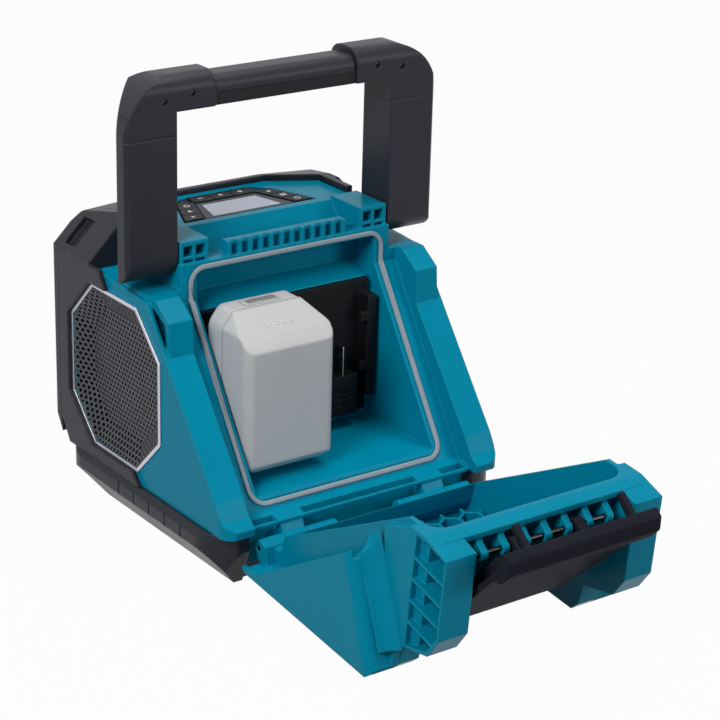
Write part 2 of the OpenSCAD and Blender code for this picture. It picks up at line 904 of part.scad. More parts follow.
module handle_corner_left() side(-1) handle_corner();
module handle_corner_right() side(1) handle_corner();

module screw_places() {
    for (p = [[grip_x + 18.5, bar_low + 11.5], [leg_in + 9.5, bar_low + 8]])
        translate([p[0], 0, p[1]]) rotate([-90, 0, 0]) children();
}

module handle_screws() {
    color(steel) pair() screw_places() translate([0, 0, 1]) cylinder(h = 3, d = 4.5);
}

module grip_outline() {
    intersection() {
        bar_section(grip_rear, grip_front, grip_top, 9);
        translate([0, bar_low]) square([leg_d, 100]);
    }
}

module handle_grip() {
    color(black) difference() {
        ext_x(-grip_x, grip_x) grip_outline();
        box([-grip_x + 3, -1, bar_low - 1], [grip_x - 3, leg_d / 2, insert_top]);
    }
}

module grip_insert() {
    color(black) intersection() {
        ext_x(3.3 - grip_x, grip_x - 3.3) grip_outline();
        box([-grip_x, -1, bar_low - 1], [grip_x, leg_d / 2 - 0.02, insert_top - 0.25]);
    }
}

module handle_pins() {
    color(steel) pair() bar(block_in + 9, leg_in + 22, pivot_y, pivot_z, pivot_d / 2);
}

// Gasket: a leaning U and an upright arch that meet at the kink
module gasket() {
    r = 14;
    color(silver) union() {
        translate([0, seat_y, kink_z]) rotate([seat_ang, 0, 0]) linear_extrude(height = gasket_h)
            difference() {
                round_rect(gasket_out, 2 - seat_len, r, r);
                round_rect(gasket_in, 2 + gasket_w - seat_len, 2 * r, r - gasket_w);
                translate([-hw, 0]) square([2 * hw, 100]);
            }
        translate([0, seat_y, kink_z]) rotate([90, 0, 0]) linear_extrude(height = gasket_h)
            difference() {
                round_rect(gasket_out, -r, seat_top - kink_z, r);
                round_rect(gasket_in, -2 * r, seat_top - kink_z - gasket_w, r - gasket_w);
                translate([-hw, -100]) square([2 * hw, 100]);
            }
    }
}

// Battery terminals: back plate, two rails with inward lips, and a contact block at the foot
module terminal() {
    base_z = bay_floor + 7;
    rail_top = recess_z - 11;
    color(black) difference() {
        union() {
            box([-term_w / 2, bay_back - 4, base_z], [term_w / 2, bay_back - 0.02, recess_z - 1]);
            for (s = [0, 1]) mirror([s, 0, 0]) {
                box([tongue_w / 2 + slide, rail_y, base_z + 16], [term_w / 2, bay_back - 3, rail_top]);
                for (z = lip_rows)
                    box([rail_in + slide, rail_y, z], [tongue_w / 2 + 1, rail_y + lip, z + lip_h]);
            }
            box([-rail_in + 2, rail_y, base_z + 4], [rail_in - 2, bay_back - 3, plug_top]);
        }
        for (x = [-10, 10]) box([x - 0.6, rail_y + 5, plug_top - 6], [x + 0.6, bay_back - 5, plug_top + 1]);
        for (i = [0 : 2])
            box([-9, rail_y - 1, base_z + 12 + i * 5], [9, rail_y + 2, base_z + 14 + i * 5]);
    }
}

module terminal_left() translate([-term_x, 0, 0]) terminal();
module terminal_right() translate([term_x, 0, 0]) terminal();

module contacts() {
    color("gold") for (x = [-10, 10])
        box([x - 0.5, rail_y + 5.2, plug_top - 6], [x + 0.5, bay_back - 5.2, plug_top + 22]);
}

module contacts_left() translate([-term_x, 0, 0]) contacts();
module contacts_right() translate([term_x, 0, 0]) contacts();

// Battery pack, on the left terminal

module batt_plan(y0, y1) {
    round_rect(batt_w / 2, y0, y1, 7);
}

module batt_envelope() {
    slope = 18;
    w = batt_w / 2;
    intersection() {
        translate([0, 0, batt_z]) linear_extrude(height = batt_l) batt_plan(batt_rear, batt_y + 8);
        ext_x(-batt_w, batt_w) polygon([[batt_y, batt_z], [batt_y, batt_top],
            [batt_y - slope, batt_top], [batt_rear + 9, batt_top - 13], [batt_rear, batt_top - 22],
            [batt_rear, batt_z + 6], [batt_rear + 6, batt_z]]);
        ext_y(-200, 100) polygon([[-w, batt_z + 8], [8 - w, batt_z], [w - 8, batt_z], [w, batt_z + 8],
            [w, batt_top - 12], [w - 9, batt_top], [9 - w, batt_top], [-w, batt_top - 12]]);
    }
}

module batt_button_box(grow) {
    box([-button_w / 2 - grow, batt_y - 15, batt_top - 8],
        [button_w / 2 + grow, batt_y - 5 + grow, batt_top + 1]);
}

// Rear shell of the pack
module battery_case() {
    color(pale) translate([-term_x, 0, 0]) intersection() {
        batt_envelope();
        box([-batt_w, -300, 0], [batt_w, batt_seam - 0.02, 400]);
    }
}

// Front shell of the pack, with the tongue that slides in the terminal's rails
module battery_cover() {
    flange_y = rail_y + lip + slide;
    tongue_top = lip_rows[1] + lip_h - 0.5;
    color(pale) translate([-term_x, 0, 0]) difference() {
        union() {
            intersection() {
                batt_envelope();
                box([-batt_w, batt_seam, 0], [batt_w, 0, 400]);
            }
            box([-rail_in + slide, batt_y - 1, plug_top + 0.3],
                [rail_in - slide, bay_back - 4.4, tongue_top]);
            for (z = lip_rows)
                box([-tongue_w / 2 + slide, flange_y, z + 0.3],
                    [tongue_w / 2 - slide, bay_back - 4.4, z + lip_h - 0.5]);
        }
        for (x = [-10, 10])
            box([x - 1.2, rail_y + 4, plug_top - 9], [x + 1.2, bay_back, plug_top + 24 + batt_travel]);
        batt_button_box(0.3);
    }
}

module battery_button() {
    color(pale) translate([-term_x, 0, 0])
        box([-button_w / 2, batt_y - 14.6, batt_top - 5.8], [button_w / 2, batt_y - 5, batt_top + 0.8]);
}

// Door, drawn closed and then swung open about the hinge rod

module tray_outline() {
    polygon([[door_back, hinge_z + 3], [hinge_y + 2.5, hinge_z + 7], [hinge_y + 2.5, base_h + 4],
        rim_low, [rim_y, rim_kink_z], [rim_y, shelf_z - 2], [rim_y - 2, shelf_z + 7],
        [rim_y - 6, shelf_z + 7], [rim_y - 8, roof_z + door_wall], [roof_y, roof_z + door_wall],
        [-82, wing_top + 4], [door_back, scoop_z]]);
}

module tray_inside() {
    polygon([[door_back + door_wall, base_h + 1], [hinge_y + 3, base_h + 8],
        [rim_low[0] + 5, rim_low[1] + 3], [rim_y + 30, rim_low[1] + 3], [rim_y + 30, roof_z],
        [roof_y + 1, roof_z], [-80, wing_top], [door_back + door_wall, scoop_z - 1.5]]);
}

// Room inside the tray, with rounded upper corners
module tray_room() {
    corner = 14;
    intersection() {
        ext_x(door_wall - tray_x, tray_x - door_wall) tray_inside();
        ext_y(-200, 60) round_rect(tray_x - door_wall, -50, roof_z, corner);
    }
}

// Outer corner of the door that it stands on when open
module foot_outline() {
    polygon([[-80, wing_top + 4], [door_back, scoop_z - 1], [door_back, wing_top - 4],
        [door_back + 6, wing_top + 1.5], [-97, wing_top + 5]]);
}

// Concave fillet between the tray's side and the shelf that carries the wing
module shelf_scoop() {
    r = 14;
    rise = 12;
    dip = 15;
    difference() {
        translate([block_x - 0.5, wing_t[0], wing_t[1] + 2]) rotate([-shelf_a, 0, 0])
            rotate([90, 0, 0]) translate([0, 0, -rise]) linear_extrude(height = 70 + rise)
                difference() {
                    square([r + 0.5, r]);
                    translate([r + 0.5, r]) circle(r);
                }
        translate([block_x + dip, wing_t[0] + dip - 2, 0]) cylinder(r = dip, h = 300);
    }
}

module block_outline() {
    polygon([[rim_y, wing_top + 4], [rim_y, shelf_z - 2], [rim_y - 6, block_top],
        [-72, block_top + 1], [-88, block_top - 8], [-97, wing_top + 6], [-97, wing_top - 3],
        [rim_y - 12, wing_top + 2]]);
}

// Field of the pockets in a block's outer end, above a given height
module pocket_field(low) {
    top = rim_y - 3.2;
    fall = 4.2;
    polygon([[top, low], [top - fall, block_top - 2], [-71, block_top - 1.2],
        [-85.5, block_top - 9.5], [0.3 * (low - wing_top - 12) - 93.3, low]]);
}

// Five pockets between slanted ribs, shallow beside the tray and deep beyond it
module block_pockets() {
    ribs = 4;
    pitch = 16.2;
    rib = 1.8;
    fall = 6.3;
    difference() {
        union() {
            ext_x(block_x - 5, block_x + 1) pocket_field(wing_top + 12);
            ext_x(pocket_x + 6, block_x + 1) pocket_field(roof_z + door_wall);
        }
        for (i = [1 : ribs]) {
            y = rim_y - 1.9 - i * pitch;
            ext_x(pocket_x, block_x + 2) polygon([[y, wing_top + 3], [y - fall, wing_top + 48],
                [y - fall - rib, wing_top + 48], [y - rib, wing_top + 3]]);
        }
    }
}

module wing_outline() {
    polygon([[door_back, hinge_z + 6], [door_back + 4, hinge_z + 3], [hinge_y - 6.5, base_h + 3],
        [hinge_y - 6, base_h + 9], [-103, 68], wing_t, [wing_t[0] - 3, wing_t[1] + 2],
        shelf_high, [door_back, wing_top - 4]]);
}

module shelf_outline() {
    polygon([[wing_t[0] - 4, wing_t[1] + 2], shelf_low, shelf_high, [door_back + 5, wing_top - 2.5]]);
}

// Takes the sharp edge off between a wing and its shelf
module wing_fillet() {
    lean = atan2(shelf_high[1] - shelf_low[1], shelf_low[0] - shelf_high[0]);
    over = 15;
    edge = norm(shelf_high - shelf_low) + 2 * over;
    translate([door_x - wing_r, shelf_low[0], shelf_low[1]]) rotate([90 - lean, 0, 0])
        translate([0, -wing_r, -over]) linear_extrude(height = edge) difference() {
            square(2 * wing_r);
            circle(wing_r);
        }
}

module web_outline() {
    polygon([[-19, 164.5], [rim_y - 1, wing_top + 4.5], [-90, wing_top + 4], shelf_high,
        [door_back + 5, wing_top - 2.5]]);
}

module door_knuckles() {
    pair() difference() {
        union() {
            for (x = [[28, knuckle[0] - 0.5], [knuckle[1] + 0.5, tray_x + 8]]) {
                bar(x[0], x[1], hinge_y, hinge_z, knuckle_r);
                ext_x(x[0], x[1]) polygon([[hinge_y - 4, hinge_z - 4], [hinge_y + 5.5, hinge_z],
                    [hinge_y + 4, hinge_z + 8], [hinge_y - 9, hinge_z + 12], [door_back, hinge_z + 9],
                    [door_back, hinge_z + 4]]);
            }
        }
        bar(20, tray_x + 10, hinge_y, hinge_z, hinge_d / 2 + run);
    }
}

module knuckle_room() {
    pair() ext_x(knuckle[0] - 0.5, knuckle[1] + 0.5)
        polygon([[hinge_y - 8, hinge_z - 10], [hinge_y - 8, hinge_z + 9], [hinge_y + 9, hinge_z + 9],
            [hinge_y + 9, hinge_z - 10]]);
}

module finger_places() {
    for (i = [0 : fingers - 1]) {
        x = (i - (fingers - 1) / 2) * finger_pitch;
        translate([x - finger_w / 2, 0, 0]) children();
    }
}

module latch_fingers() {
    finger_places() difference() {
        union() {
            bar(0, finger_w, rod_y, rod_z, finger_r);
            ext_x(0, finger_w) polygon([[rim_y - 6, shelf_z - 9], [rim_y - 6, shelf_z + 3],
                [rod_y + 2, rod_z + finger_r - 0.5], [rod_y - finger_r, rod_z],
                [rod_y - finger_r, shelf_z - 13]]);
        }
        bar(-1, finger_w + 1, rod_y, rod_z, latch_d / 2 + 0.01);
    }
}

module door_closed() {
    difference() {
        union() {
            ext_x(-tray_x, tray_x) tray_outline();
            pair() difference() {
                ext_x(pocket_x, block_x) block_outline();
                block_pockets();
            }
            pair() ext_x(foot_in, tray_x) foot_outline();
            pair() ext_x(door_x - door_wall, door_x) wing_outline();
            pair() ext_x(tray_x - 1, door_x) shelf_outline();
            pair() ext_x(tray_x - 1, block_x) web_outline();
            pair() shelf_scoop();
            box([-door_x, door_back, hinge_z + 6], [door_x, door_back + door_wall, scoop_z - 1]);
            pair() box([foot_in, door_back, hinge_z + 6], [door_x, door_back + door_wall, wing_top - 4]);
            latch_fingers();
            door_knuckles();
        }
        tray_room();
        knuckle_room();
        pair() wing_fillet();
    }
}

module door_tray() {
    color(teal) opened() door_closed();
}

// Honeycomb ribs on the tray's floor
module door_honeycomb() {
    rib = 1.6;
    tall = 14;
    field = [tray_x - door_wall - 5, 66];
    z0 = 58;
    step = cell + rib;
    rows = ceil(field[1] / (step * 0.866));
    cols = ceil(field[0] / step);
    color(teal) opened() translate([0, door_back + door_wall + tall + 0.05, z0]) rotate([90, 0, 0])
        linear_extrude(height = tall) difference() {
            translate([-field[0], 0]) square([2 * field[0], field[1]]);
            for (j = [0 : rows], i = [-cols : cols])
                translate([(i + 0.5 * (j % 2)) * step, j * step * 0.866])
                    rotate(30) circle(d = cell / cos(30), $fn = 6);
        }
}

module hinge_rod() {
    color(steel) opened() bar(-tray_x - 8, tray_x + 8, hinge_y, hinge_z, hinge_d / 2);
}

module latch_rod() {
    len = (fingers - 1) * finger_pitch + finger_w + 4;
    color(steel) opened() bar(-len / 2, len / 2, rod_y, rod_z, latch_d / 2);
}

// Lever, drawn hooked over the catch about the rod and then swung free
module lever_profile() {
    polygon([[-80, 16.2], [-80, 19.2], [-78, 20.2], [12, 22.5], [19, 27.5], [31, 27.5], [38.5, 21],
        [38.5, 13.5], [33, 12.5], [24, 18.6]]);
}

module lever_claw() {
    polygon([[37.5, 17], [36, -3.5], [31.5, -3.5], [31, 12], [26, 18]]);
}

module lever_cheek() {
    polygon([[-52, 17.5], [-30, 11], [8, 8], [24, 10], [35, 13.5], [30, 19], [24, 20]]);
}

module lever_shape() {
    half = lever_w / 2;
    flare = 12;
    knuckle_x = 1.5 * finger_pitch;
    knuckle_w = 7;
    claw_x = 2.5 * finger_pitch;
    claw_w = 4;
    difference() {
        union() {
            intersection() {
                ext_x(-half, half) lever_profile();
                linear_extrude(height = 200, center = true) polygon([[-half, 60], [half, 60],
                    [half, 10], [half - flare, -90], [flare - half, -90], [-half, 10]]);
            }
            pair() ext_x(half - 3 - flare, half - flare) lever_cheek();
            pair() ext_x(claw_x - claw_w / 2, claw_x + claw_w / 2) lever_claw();
            pair() ext_x(knuckle_x - knuckle_w / 2, knuckle_x + knuckle_w / 2)
                polygon([[-5, 0], [5, 0], [12, 19], [-12, 19]]);
            pair() bar(knuckle_x - knuckle_w / 2, knuckle_x + knuckle_w / 2, 0, 0, 5.5);
        }
        bar(-200, 200, 0, 0, latch_d / 2 + run);
    }
}

module latch_lever() {
    color(black) opened() translate([0, rod_y, rod_z]) rotate([latch_swing, 0, 0]) lever_shape();
}

rear_housing();
battery_bay();
front_housing();
base_tub();
feet();
front_rim();
side_frame_left();
side_frame_right();
side_bezel_left();
side_bezel_right();
side_grille_left();
side_grille_right();
front_bezel();
front_grille();
side_driver_frame_left();
side_driver_frame_right();
side_cone_left();
side_cone_right();
side_magnet_left();
side_magnet_right();
front_driver_frame();
front_cone();
front_magnet();
driver_screws();
main_board();
control_panel();
display_bezel();
display_window();
key_front_left();
key_front_mid();
key_front_right();
key_right_a();
key_right_b();
key_right_c();
key_left_a();
key_left_b();
key_left_c();
handle_leg_left();
handle_leg_right();
handle_corner_left();
handle_corner_right();
handle_grip();
grip_insert();
handle_screws();
handle_pins();
gasket();
terminal_left();
terminal_right();
contacts_left();
contacts_right();
battery_case();
battery_cover();
battery_button();
door_tray();
door_honeycomb();
hinge_rod();
latch_rod();
latch_lever();
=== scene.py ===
"""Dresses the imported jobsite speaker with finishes, grilles, seals, rounded shells, marks and a studio.

Sizes are in metres and angles in degrees, unless a name says otherwise.
"""
import logging
import math
from dataclasses import dataclass
from enum import Enum
from typing import Callable, ClassVar, Dict, Iterable, List, Optional, Sequence, Tuple, Union

import bpy
from mathutils import Matrix, Vector


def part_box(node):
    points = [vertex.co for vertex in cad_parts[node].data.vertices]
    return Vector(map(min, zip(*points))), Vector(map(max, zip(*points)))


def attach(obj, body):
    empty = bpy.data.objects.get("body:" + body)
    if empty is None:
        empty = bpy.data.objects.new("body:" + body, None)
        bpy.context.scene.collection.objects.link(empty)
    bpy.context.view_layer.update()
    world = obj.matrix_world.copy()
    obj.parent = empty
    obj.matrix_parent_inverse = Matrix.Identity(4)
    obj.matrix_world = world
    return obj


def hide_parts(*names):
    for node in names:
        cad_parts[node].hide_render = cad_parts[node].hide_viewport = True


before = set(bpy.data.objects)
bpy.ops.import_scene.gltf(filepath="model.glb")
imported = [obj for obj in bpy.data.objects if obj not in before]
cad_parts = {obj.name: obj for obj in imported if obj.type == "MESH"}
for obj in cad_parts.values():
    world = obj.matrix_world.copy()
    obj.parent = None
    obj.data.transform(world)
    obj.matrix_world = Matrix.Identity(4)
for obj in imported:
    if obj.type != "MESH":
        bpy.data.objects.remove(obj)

LOG = logging.getLogger("speaker")
# Metres within which two places count as one.
NEAR = 0.0001
# The share of a normal along an axis above which its face points that way.
ALONG = 0.9
Point = Tuple[float, float, float]
Number = Union[float, "Value"]
Settings = Dict[str, object]
Inputs = Dict[Union[int, str], object]
Piece = bpy.types.Object
ElementTest = Callable[[bpy.types.bpy_struct], bool]
EdgeTest = Callable[[Vector, Vector], bool]


class Tone(Enum):
    """Linear colours of the speaker and its studio."""

    TEAL = (0.0, 0.275, 0.425, 1.0)
    TEAL_DEEP = (0.0, 0.236, 0.368, 1.0)
    # Lighter teal mixed along edges, as wear and a painted highlight.
    TEAL_EDGE = (0.04, 0.52, 0.68, 1.0)
    BLACK = (0.0215, 0.0230, 0.0320, 1.0)
    BLACK_DEEP = (0.0175, 0.0187, 0.0262, 1.0)
    # Lighter black mixed along edges, as wear and a painted highlight.
    BLACK_EDGE = (0.075, 0.079, 0.096, 1.0)
    RUBBER = (0.0095, 0.0100, 0.0125, 1.0)
    RUBBER_DUST = (0.022, 0.023, 0.026, 1.0)
    FOAM = (0.36, 0.42, 0.47, 1.0)
    # Painted shade in the foam's sunken pores.
    FOAM_PORE = (0.26, 0.31, 0.35, 1.0)
    PACK = (0.60, 0.602, 0.606, 1.0)
    PACK_SHADE = (0.55, 0.552, 0.556, 1.0)
    # Lighter pack grey mixed along edges, as wear and a painted highlight.
    PACK_EDGE = (0.68, 0.685, 0.69, 1.0)
    LENS = (0.60, 0.62, 0.64, 1.0)
    GRILLE = (0.130, 0.137, 0.150, 1.0)
    GRILLE_DEEP = (0.095, 0.101, 0.112, 1.0)
    # Near-black backing behind the grilles; its darkness also paints the shade in the holes.
    MESH = (0.0030, 0.0030, 0.0035, 1.0)
    MESH_WIRE = (0.0070, 0.0070, 0.0080, 1.0)
    CHROME = (0.62, 0.62, 0.68, 1.0)
    CHROME_SHADE = (0.50, 0.50, 0.55, 1.0)
    STEEL = (0.50, 0.50, 0.51, 1.0)
    STEEL_SHADE = (0.36, 0.36, 0.375, 1.0)
    ROD = (0.058, 0.058, 0.064, 1.0)
    ROD_SHADE = (0.036, 0.036, 0.041, 1.0)
    TIN = (0.78, 0.765, 0.735, 1.0)
    TIN_SHADE = (0.60, 0.575, 0.53, 1.0)
    CONE = (0.020, 0.020, 0.022, 1.0)
    CONE_FIBRE = (0.050, 0.050, 0.054, 1.0)
    BOARD = (0.012, 0.085, 0.040, 1.0)
    BOARD_TRACK = (0.030, 0.150, 0.070, 1.0)
    SCREEN = (0.26, 0.32, 0.46, 1.0)
    SCREEN_SHADE = (0.20, 0.25, 0.37, 1.0)
    SCREEN_RIM = (0.040, 0.044, 0.058, 1.0)
    MARK = (0.78, 0.79, 0.80, 1.0)
    MARK_WORN = (0.60, 0.61, 0.62, 1.0)
    FLOOR = (0.32, 0.32, 0.32, 1.0)
    WHITE = (1.0, 1.0, 1.0, 1.0)


class Value:
    """One shader socket that takes part in Python arithmetic."""

    def __init__(self, graph: "Graph", socket: bpy.types.NodeSocket) -> None:
        """Keeps the graph and the socket."""
        self.graph = graph
        self.socket = socket

    def math(self, operation: str, other: Number, swap: bool = False) -> "Value":
        """Adds a Math node on this value and another.

        Args:
            operation: The Math node's operation.
            other: A number or a value.
            swap: Whether the other one stands first.

        Returns:
            The node's result.
        """
        first, second = (other, self) if swap else (self, other)
        return self.graph.add("ShaderNodeMath", {"operation": operation}, {0: first, 1: second})

    def __add__(self, other: Number) -> "Value":
        """This value plus another."""
        return self.math("ADD", other)

    def __radd__(self, other: Number) -> "Value":
        """A number plus this value."""
        return self.math("ADD", other, True)

    def __sub__(self, other: Number) -> "Value":
        """This value less another."""
        return self.math("SUBTRACT", other)

    def __rsub__(self, other: Number) -> "Value":
        """A number less this value."""
        return self.math("SUBTRACT", other, True)

    def __mul__(self, other: Number) -> "Value":
        """This value times another."""
        return self.math("MULTIPLY", other)

    def __rmul__(self, other: Number) -> "Value":
        """A number times this value."""
        return self.math("MULTIPLY", other, True)

    def most(self, other: Number) -> "Value":
        """The larger of this value and another."""
        return self.math("MAXIMUM", other)

    def between(self, low: float, high: float) -> "Value":
        """0 below low, 1 above high and a smooth step between them."""
        settings = {"interpolation_type": "SMOOTHSTEP"}
        return self.graph.add("ShaderNodeMapRange", settings, {0: self, 1: low, 2: high})

    def swing(self, span: float) -> "Value":
        """This value from 0 to 1, as a swing of a given span about 0."""
        return (self - 0.5) * span


class Graph:
    """A material's or world's node tree, emptied and filled again."""

    def __init__(self, tree: bpy.types.NodeTree) -> None:
        """Empties the tree."""
        self.tree = tree
        tree.nodes.clear()

    def node(self, kind: str, settings: Optional[Settings], inputs: Optional[Inputs]) -> bpy.types.Node:
        """Adds any node.

        Args:
            kind: The node's type.
            settings: The node's own properties, set first.
            inputs: Values or links of its sockets, by name or number.

        Returns:
            The node.
        """
        node = self.tree.nodes.new(kind)
        for name, setting in (settings or {}).items():
            setattr(node, name, setting)
        for key, given in (inputs or {}).items():
            if isinstance(given, Value):
                self.tree.links.new(given.socket, node.inputs[key])
            else:
                node.inputs[key].default_value = given
        return node

    def add(self, kind: str, settings: Optional[Settings] = None, inputs: Optional[Inputs] = None,
            output: Union[int, str] = 0) -> Value:
        """Adds any node and returns one of its outputs, by name or number."""
        return Value(self, self.node(kind, settings, inputs).outputs[output])

    def place(self, stretch: Point = (1.0, 1.0, 1.0)) -> Value:
        """Object coordinates in metres.

        Args:
            stretch: How much denser a pattern gets along each axis.

        Returns:
            The coordinates.
        """
        point = self.add("ShaderNodeTexCoord", output="Object")
        if stretch == (1.0, 1.0, 1.0):
            return point
        return self.add("ShaderNodeMapping", inputs={"Vector": point, "Scale": stretch})

    def noise(self, point: Value, scale: float, detail: float = 2.0) -> Value:
        """Noise from 0 to 1.

        Args:
            point: The coordinates.
            scale: Features per metre.
            detail: Octaves.

        Returns:
            The noise.
        """
        return self.add("ShaderNodeTexNoise", None,
                        {"Vector": point, "Scale": scale, "Detail": detail}, "Fac")

    def mix(self, share: Number, first: Union[Value, Tone], second: Union[Value, Tone]) -> Value:
        """Mixes two colours.

        Args:
            share: The share of the second one.
            first: The first colour.
            second: The second colour.

        Returns:
            The mixed colour.
        """
        ends = [c.value if isinstance(c, Tone) else c for c in (first, second)]
        settings = {"data_type": "RGBA"}
        return self.add("ShaderNodeMix", settings, {0: share, 6: ends[0], 7: ends[1]}, 2)

    def soft_normal(self, radius: float) -> Value:
        """The normal with edges rounded to a radius in metres."""
        return self.add("ShaderNodeBevel", {"samples": 6}, {"Radius": radius}, "Normal")

    def edge(self, soft: Value) -> Value:
        """A mask of the edges, where wear and a painted highlight lighten the colour.

        Args:
            soft: The rounded normal.

        Returns:
            0 on a face and 1 along an edge.
        """
        plain = self.add("ShaderNodeNewGeometry", output="Normal")
        along = self.add("ShaderNodeVectorMath", {"operation": "DOT_PRODUCT"},
                         {0: soft, 1: plain}, "Value")
        return (1.0 - along).between(0.05, 0.30)

    def bump(self, height: Value, depth: float, normal: Optional[Value] = None) -> Value:
        """Turns a height into a normal.

        Args:
            height: Height from 0 to 1.
            depth: What a height of 1 is in metres.
            normal: The normal that the bump stands on.

        Returns:
            The bumped normal.
        """
        inputs: Inputs = {"Height": height, "Distance": depth, "Strength": 1.0}
        if normal is not None:
            inputs["Normal"] = normal
        return self.add("ShaderNodeBump", None, inputs, "Normal")

    def surface(self, inputs: Inputs) -> None:
        """Closes the tree with a Principled shader that has the given inputs."""
        self.close(self.add("ShaderNodeBsdfPrincipled", None, inputs, "BSDF"))

    def close(self, shader: Value, kind: str = "ShaderNodeOutputMaterial") -> None:
        """Links a shader to the tree's output."""
        self.node(kind, None, {"Surface": shader})


@dataclass(frozen=True)
class Finish:
    """A named finish that makes its material once."""

    name: str

    def material(self) -> bpy.types.Material:
        """The finish's material, made at its first use."""
        title = self.name + "_finish"
        found = bpy.data.materials.get(title)
        if found is None:
            found = bpy.data.materials.new(title)
            found.use_nodes = True
            self.paint(Graph(found.node_tree))
        return found

    def paint(self, graph: Graph) -> None:
        """Fills the material's tree."""
        raise NotImplementedError


@dataclass(frozen=True)
class MouldedPlastic(Finish):
    """Moulded plastic with a spark-eroded grain, and edges lightened by wear and by a painted highlight."""

    tone: Tone
    shade: Tone
    rub_and_highlight: Tone
    roughness: float
    grain: float
    grain_depth: float
    edge_radius: float
    wear_and_highlight: float
    shine: float = 0.08
    gloss: float = 0.0

    def paint(self, graph: Graph) -> None:
        """Fills the material's tree.

        Args:
            graph: The tree.
        """
        point = graph.place()
        cloud = graph.noise(point, scale=22.0, detail=3.0)
        grain = graph.noise(point, scale=self.grain, detail=2.0)
        scuff = graph.noise(graph.place((1.0, 1.0, 0.25)), scale=260.0, detail=3.0).between(0.60, 0.78)
        soft = graph.soft_normal(self.edge_radius)
        edge = graph.edge(soft)
        colour = graph.mix(cloud, self.shade, self.tone)
        # Painted highlight: the edges take a lighter tone, broken up by the scuff noise as wear.
        colour = graph.mix(edge * self.wear_and_highlight * (0.55 + 0.45 * scuff), colour, self.rub_and_highlight)
        rough = self.roughness + grain.swing(0.14) + cloud.swing(0.10) + scuff * 0.05
        graph.surface({"Base Color": colour, "Roughness": rough,
                       "Normal": graph.bump(grain, depth=self.grain_depth, normal=soft),
                       "Specular IOR Level": self.shine, "Coat Weight": self.gloss,
                       "Coat Roughness": 0.18})


@dataclass(frozen=True)
class SoftRubber(Finish):
    """Matt rubber that holds a little dust."""

    tone: Tone
    dust: Tone
    roughness: float

    def paint(self, graph: Graph) -> None:
        """Fills the material's tree.

        Args:
            graph: The tree.
        """
        point = graph.place()
        dust = graph.noise(point, scale=75.0, detail=4.0).between(0.48, 0.75)
        pebble = graph.noise(point, scale=1500.0, detail=2.0)
        soft = graph.soft_normal(radius=0.0009)
        colour = graph.mix(dust * 0.6, self.tone, self.dust)
        graph.surface({"Base Color": colour, "Roughness": self.roughness + dust * 0.12,
                       "Normal": graph.bump(pebble, depth=0.00012, normal=soft), "Specular IOR Level": 0.2})


@dataclass(frozen=True)
class FoamSeal(Finish):
    """Closed-cell foam with small pores, darker in the sunken cells as painted shade."""

    tone: Tone
    pore_shade: Tone

    def paint(self, graph: Graph) -> None:
        """Fills the material's tree.

        Args:
            graph: The tree.
        """
        point = graph.place()
        cells = graph.add("ShaderNodeTexVoronoi", None, {"Vector": point, "Scale": 1400.0}, "Distance")
        cloud = graph.noise(point, scale=60.0, detail=3.0)
        # Painted shade: the darker tone falls on the cells that the bump sinks, varied by a random cloud.
        colour = graph.mix(cells.between(0.1, 0.7) * (0.4 + 0.6 * cloud), self.pore_shade, self.tone)
        graph.surface({"Base Color": colour, "Roughness": 0.78 + cloud * 0.12,
                       "Normal": graph.bump(cells, depth=0.00015)})


@dataclass(frozen=True)
class CoatedSteel(Finish):
    """Powder-coated sheet with a fine orange peel and a satin shine."""

    tone: Tone
    shade: Tone
    roughness: float
    metal: float

    def paint(self, graph: Graph) -> None:
        """Fills the material's tree.

        Args:
            graph: The tree.
        """
        point = graph.place()
        peel = graph.noise(point, scale=1900.0, detail=2.0)
        cloud = graph.noise(point, scale=40.0, detail=3.0)
        colour = graph.mix(cloud, self.shade, self.tone)
        graph.surface({"Base Color": colour, "Metallic": self.metal,
                       "Roughness": self.roughness + peel.swing(0.2) + cloud.swing(0.1),
                       "Normal": graph.bump(peel, depth=0.00006)})


@dataclass(frozen=True)
class BareMetal(Finish):
    """Metal with fine drawn lines along one axis."""

    tone: Tone
    shade: Tone
    roughness: float
    drawn: Point
    edge_radius: float = 0.0004

    def paint(self, graph: Graph) -> None:
        """Fills the material's tree.

        Args:
            graph: The tree.
        """
        lines = graph.noise(graph.place(self.drawn), 1.0, 4.0)
        stain = graph.noise(graph.place(), scale=90.0, detail=3.0)
        soft = graph.soft_normal(self.edge_radius)
        colour = graph.mix(lines * 0.6 + stain * 0.4, self.shade, self.tone)
        graph.surface({"Base Color": colour, "Metallic": 1.0,
                       "Roughness": self.roughness + lines.swing(0.18) + stain.swing(0.12),
                       "Normal": graph.bump(lines, depth=0.00002, normal=soft)})


@dataclass(frozen=True)
class PressedPaper(Finish):
    """Pressed paper with short fibres."""

    tone: Tone
    fibre: Tone

    def paint(self, graph: Graph) -> None:
        """Fills the material's tree.

        Args:
            graph: The tree.
        """
        fibres = graph.noise(graph.place((1.0, 0.35, 0.35)), scale=1100.0, detail=5.0)
        colour = graph.mix(fibres.between(0.5, 0.72), self.tone, self.fibre)
        graph.surface({"Base Color": colour, "Roughness": 0.72 + fibres * 0.2,
                       "Normal": graph.bump(fibres, depth=0.0001)})


@dataclass(frozen=True)
class CircuitLaminate(Finish):
    """Solder mask over straight copper tracks."""

    tone: Tone
    track: Tone

    def paint(self, graph: Graph) -> None:
        """Fills the material's tree.

        Args:
            graph: The tree.
        """
        settings = {"wave_type": "BANDS", "bands_direction": "X"}
        tracks = graph.add("ShaderNodeTexWave", settings,
                           {"Vector": graph.place(), "Scale": 90.0, "Distortion": 3.0}, "Fac")
        mask = tracks.between(0.55, 0.7)
        graph.surface({"Base Color": graph.mix(mask, self.tone, self.track),
                       "Roughness": 0.42 - mask * 0.1, "Normal": graph.bump(mask, depth=0.00004)})


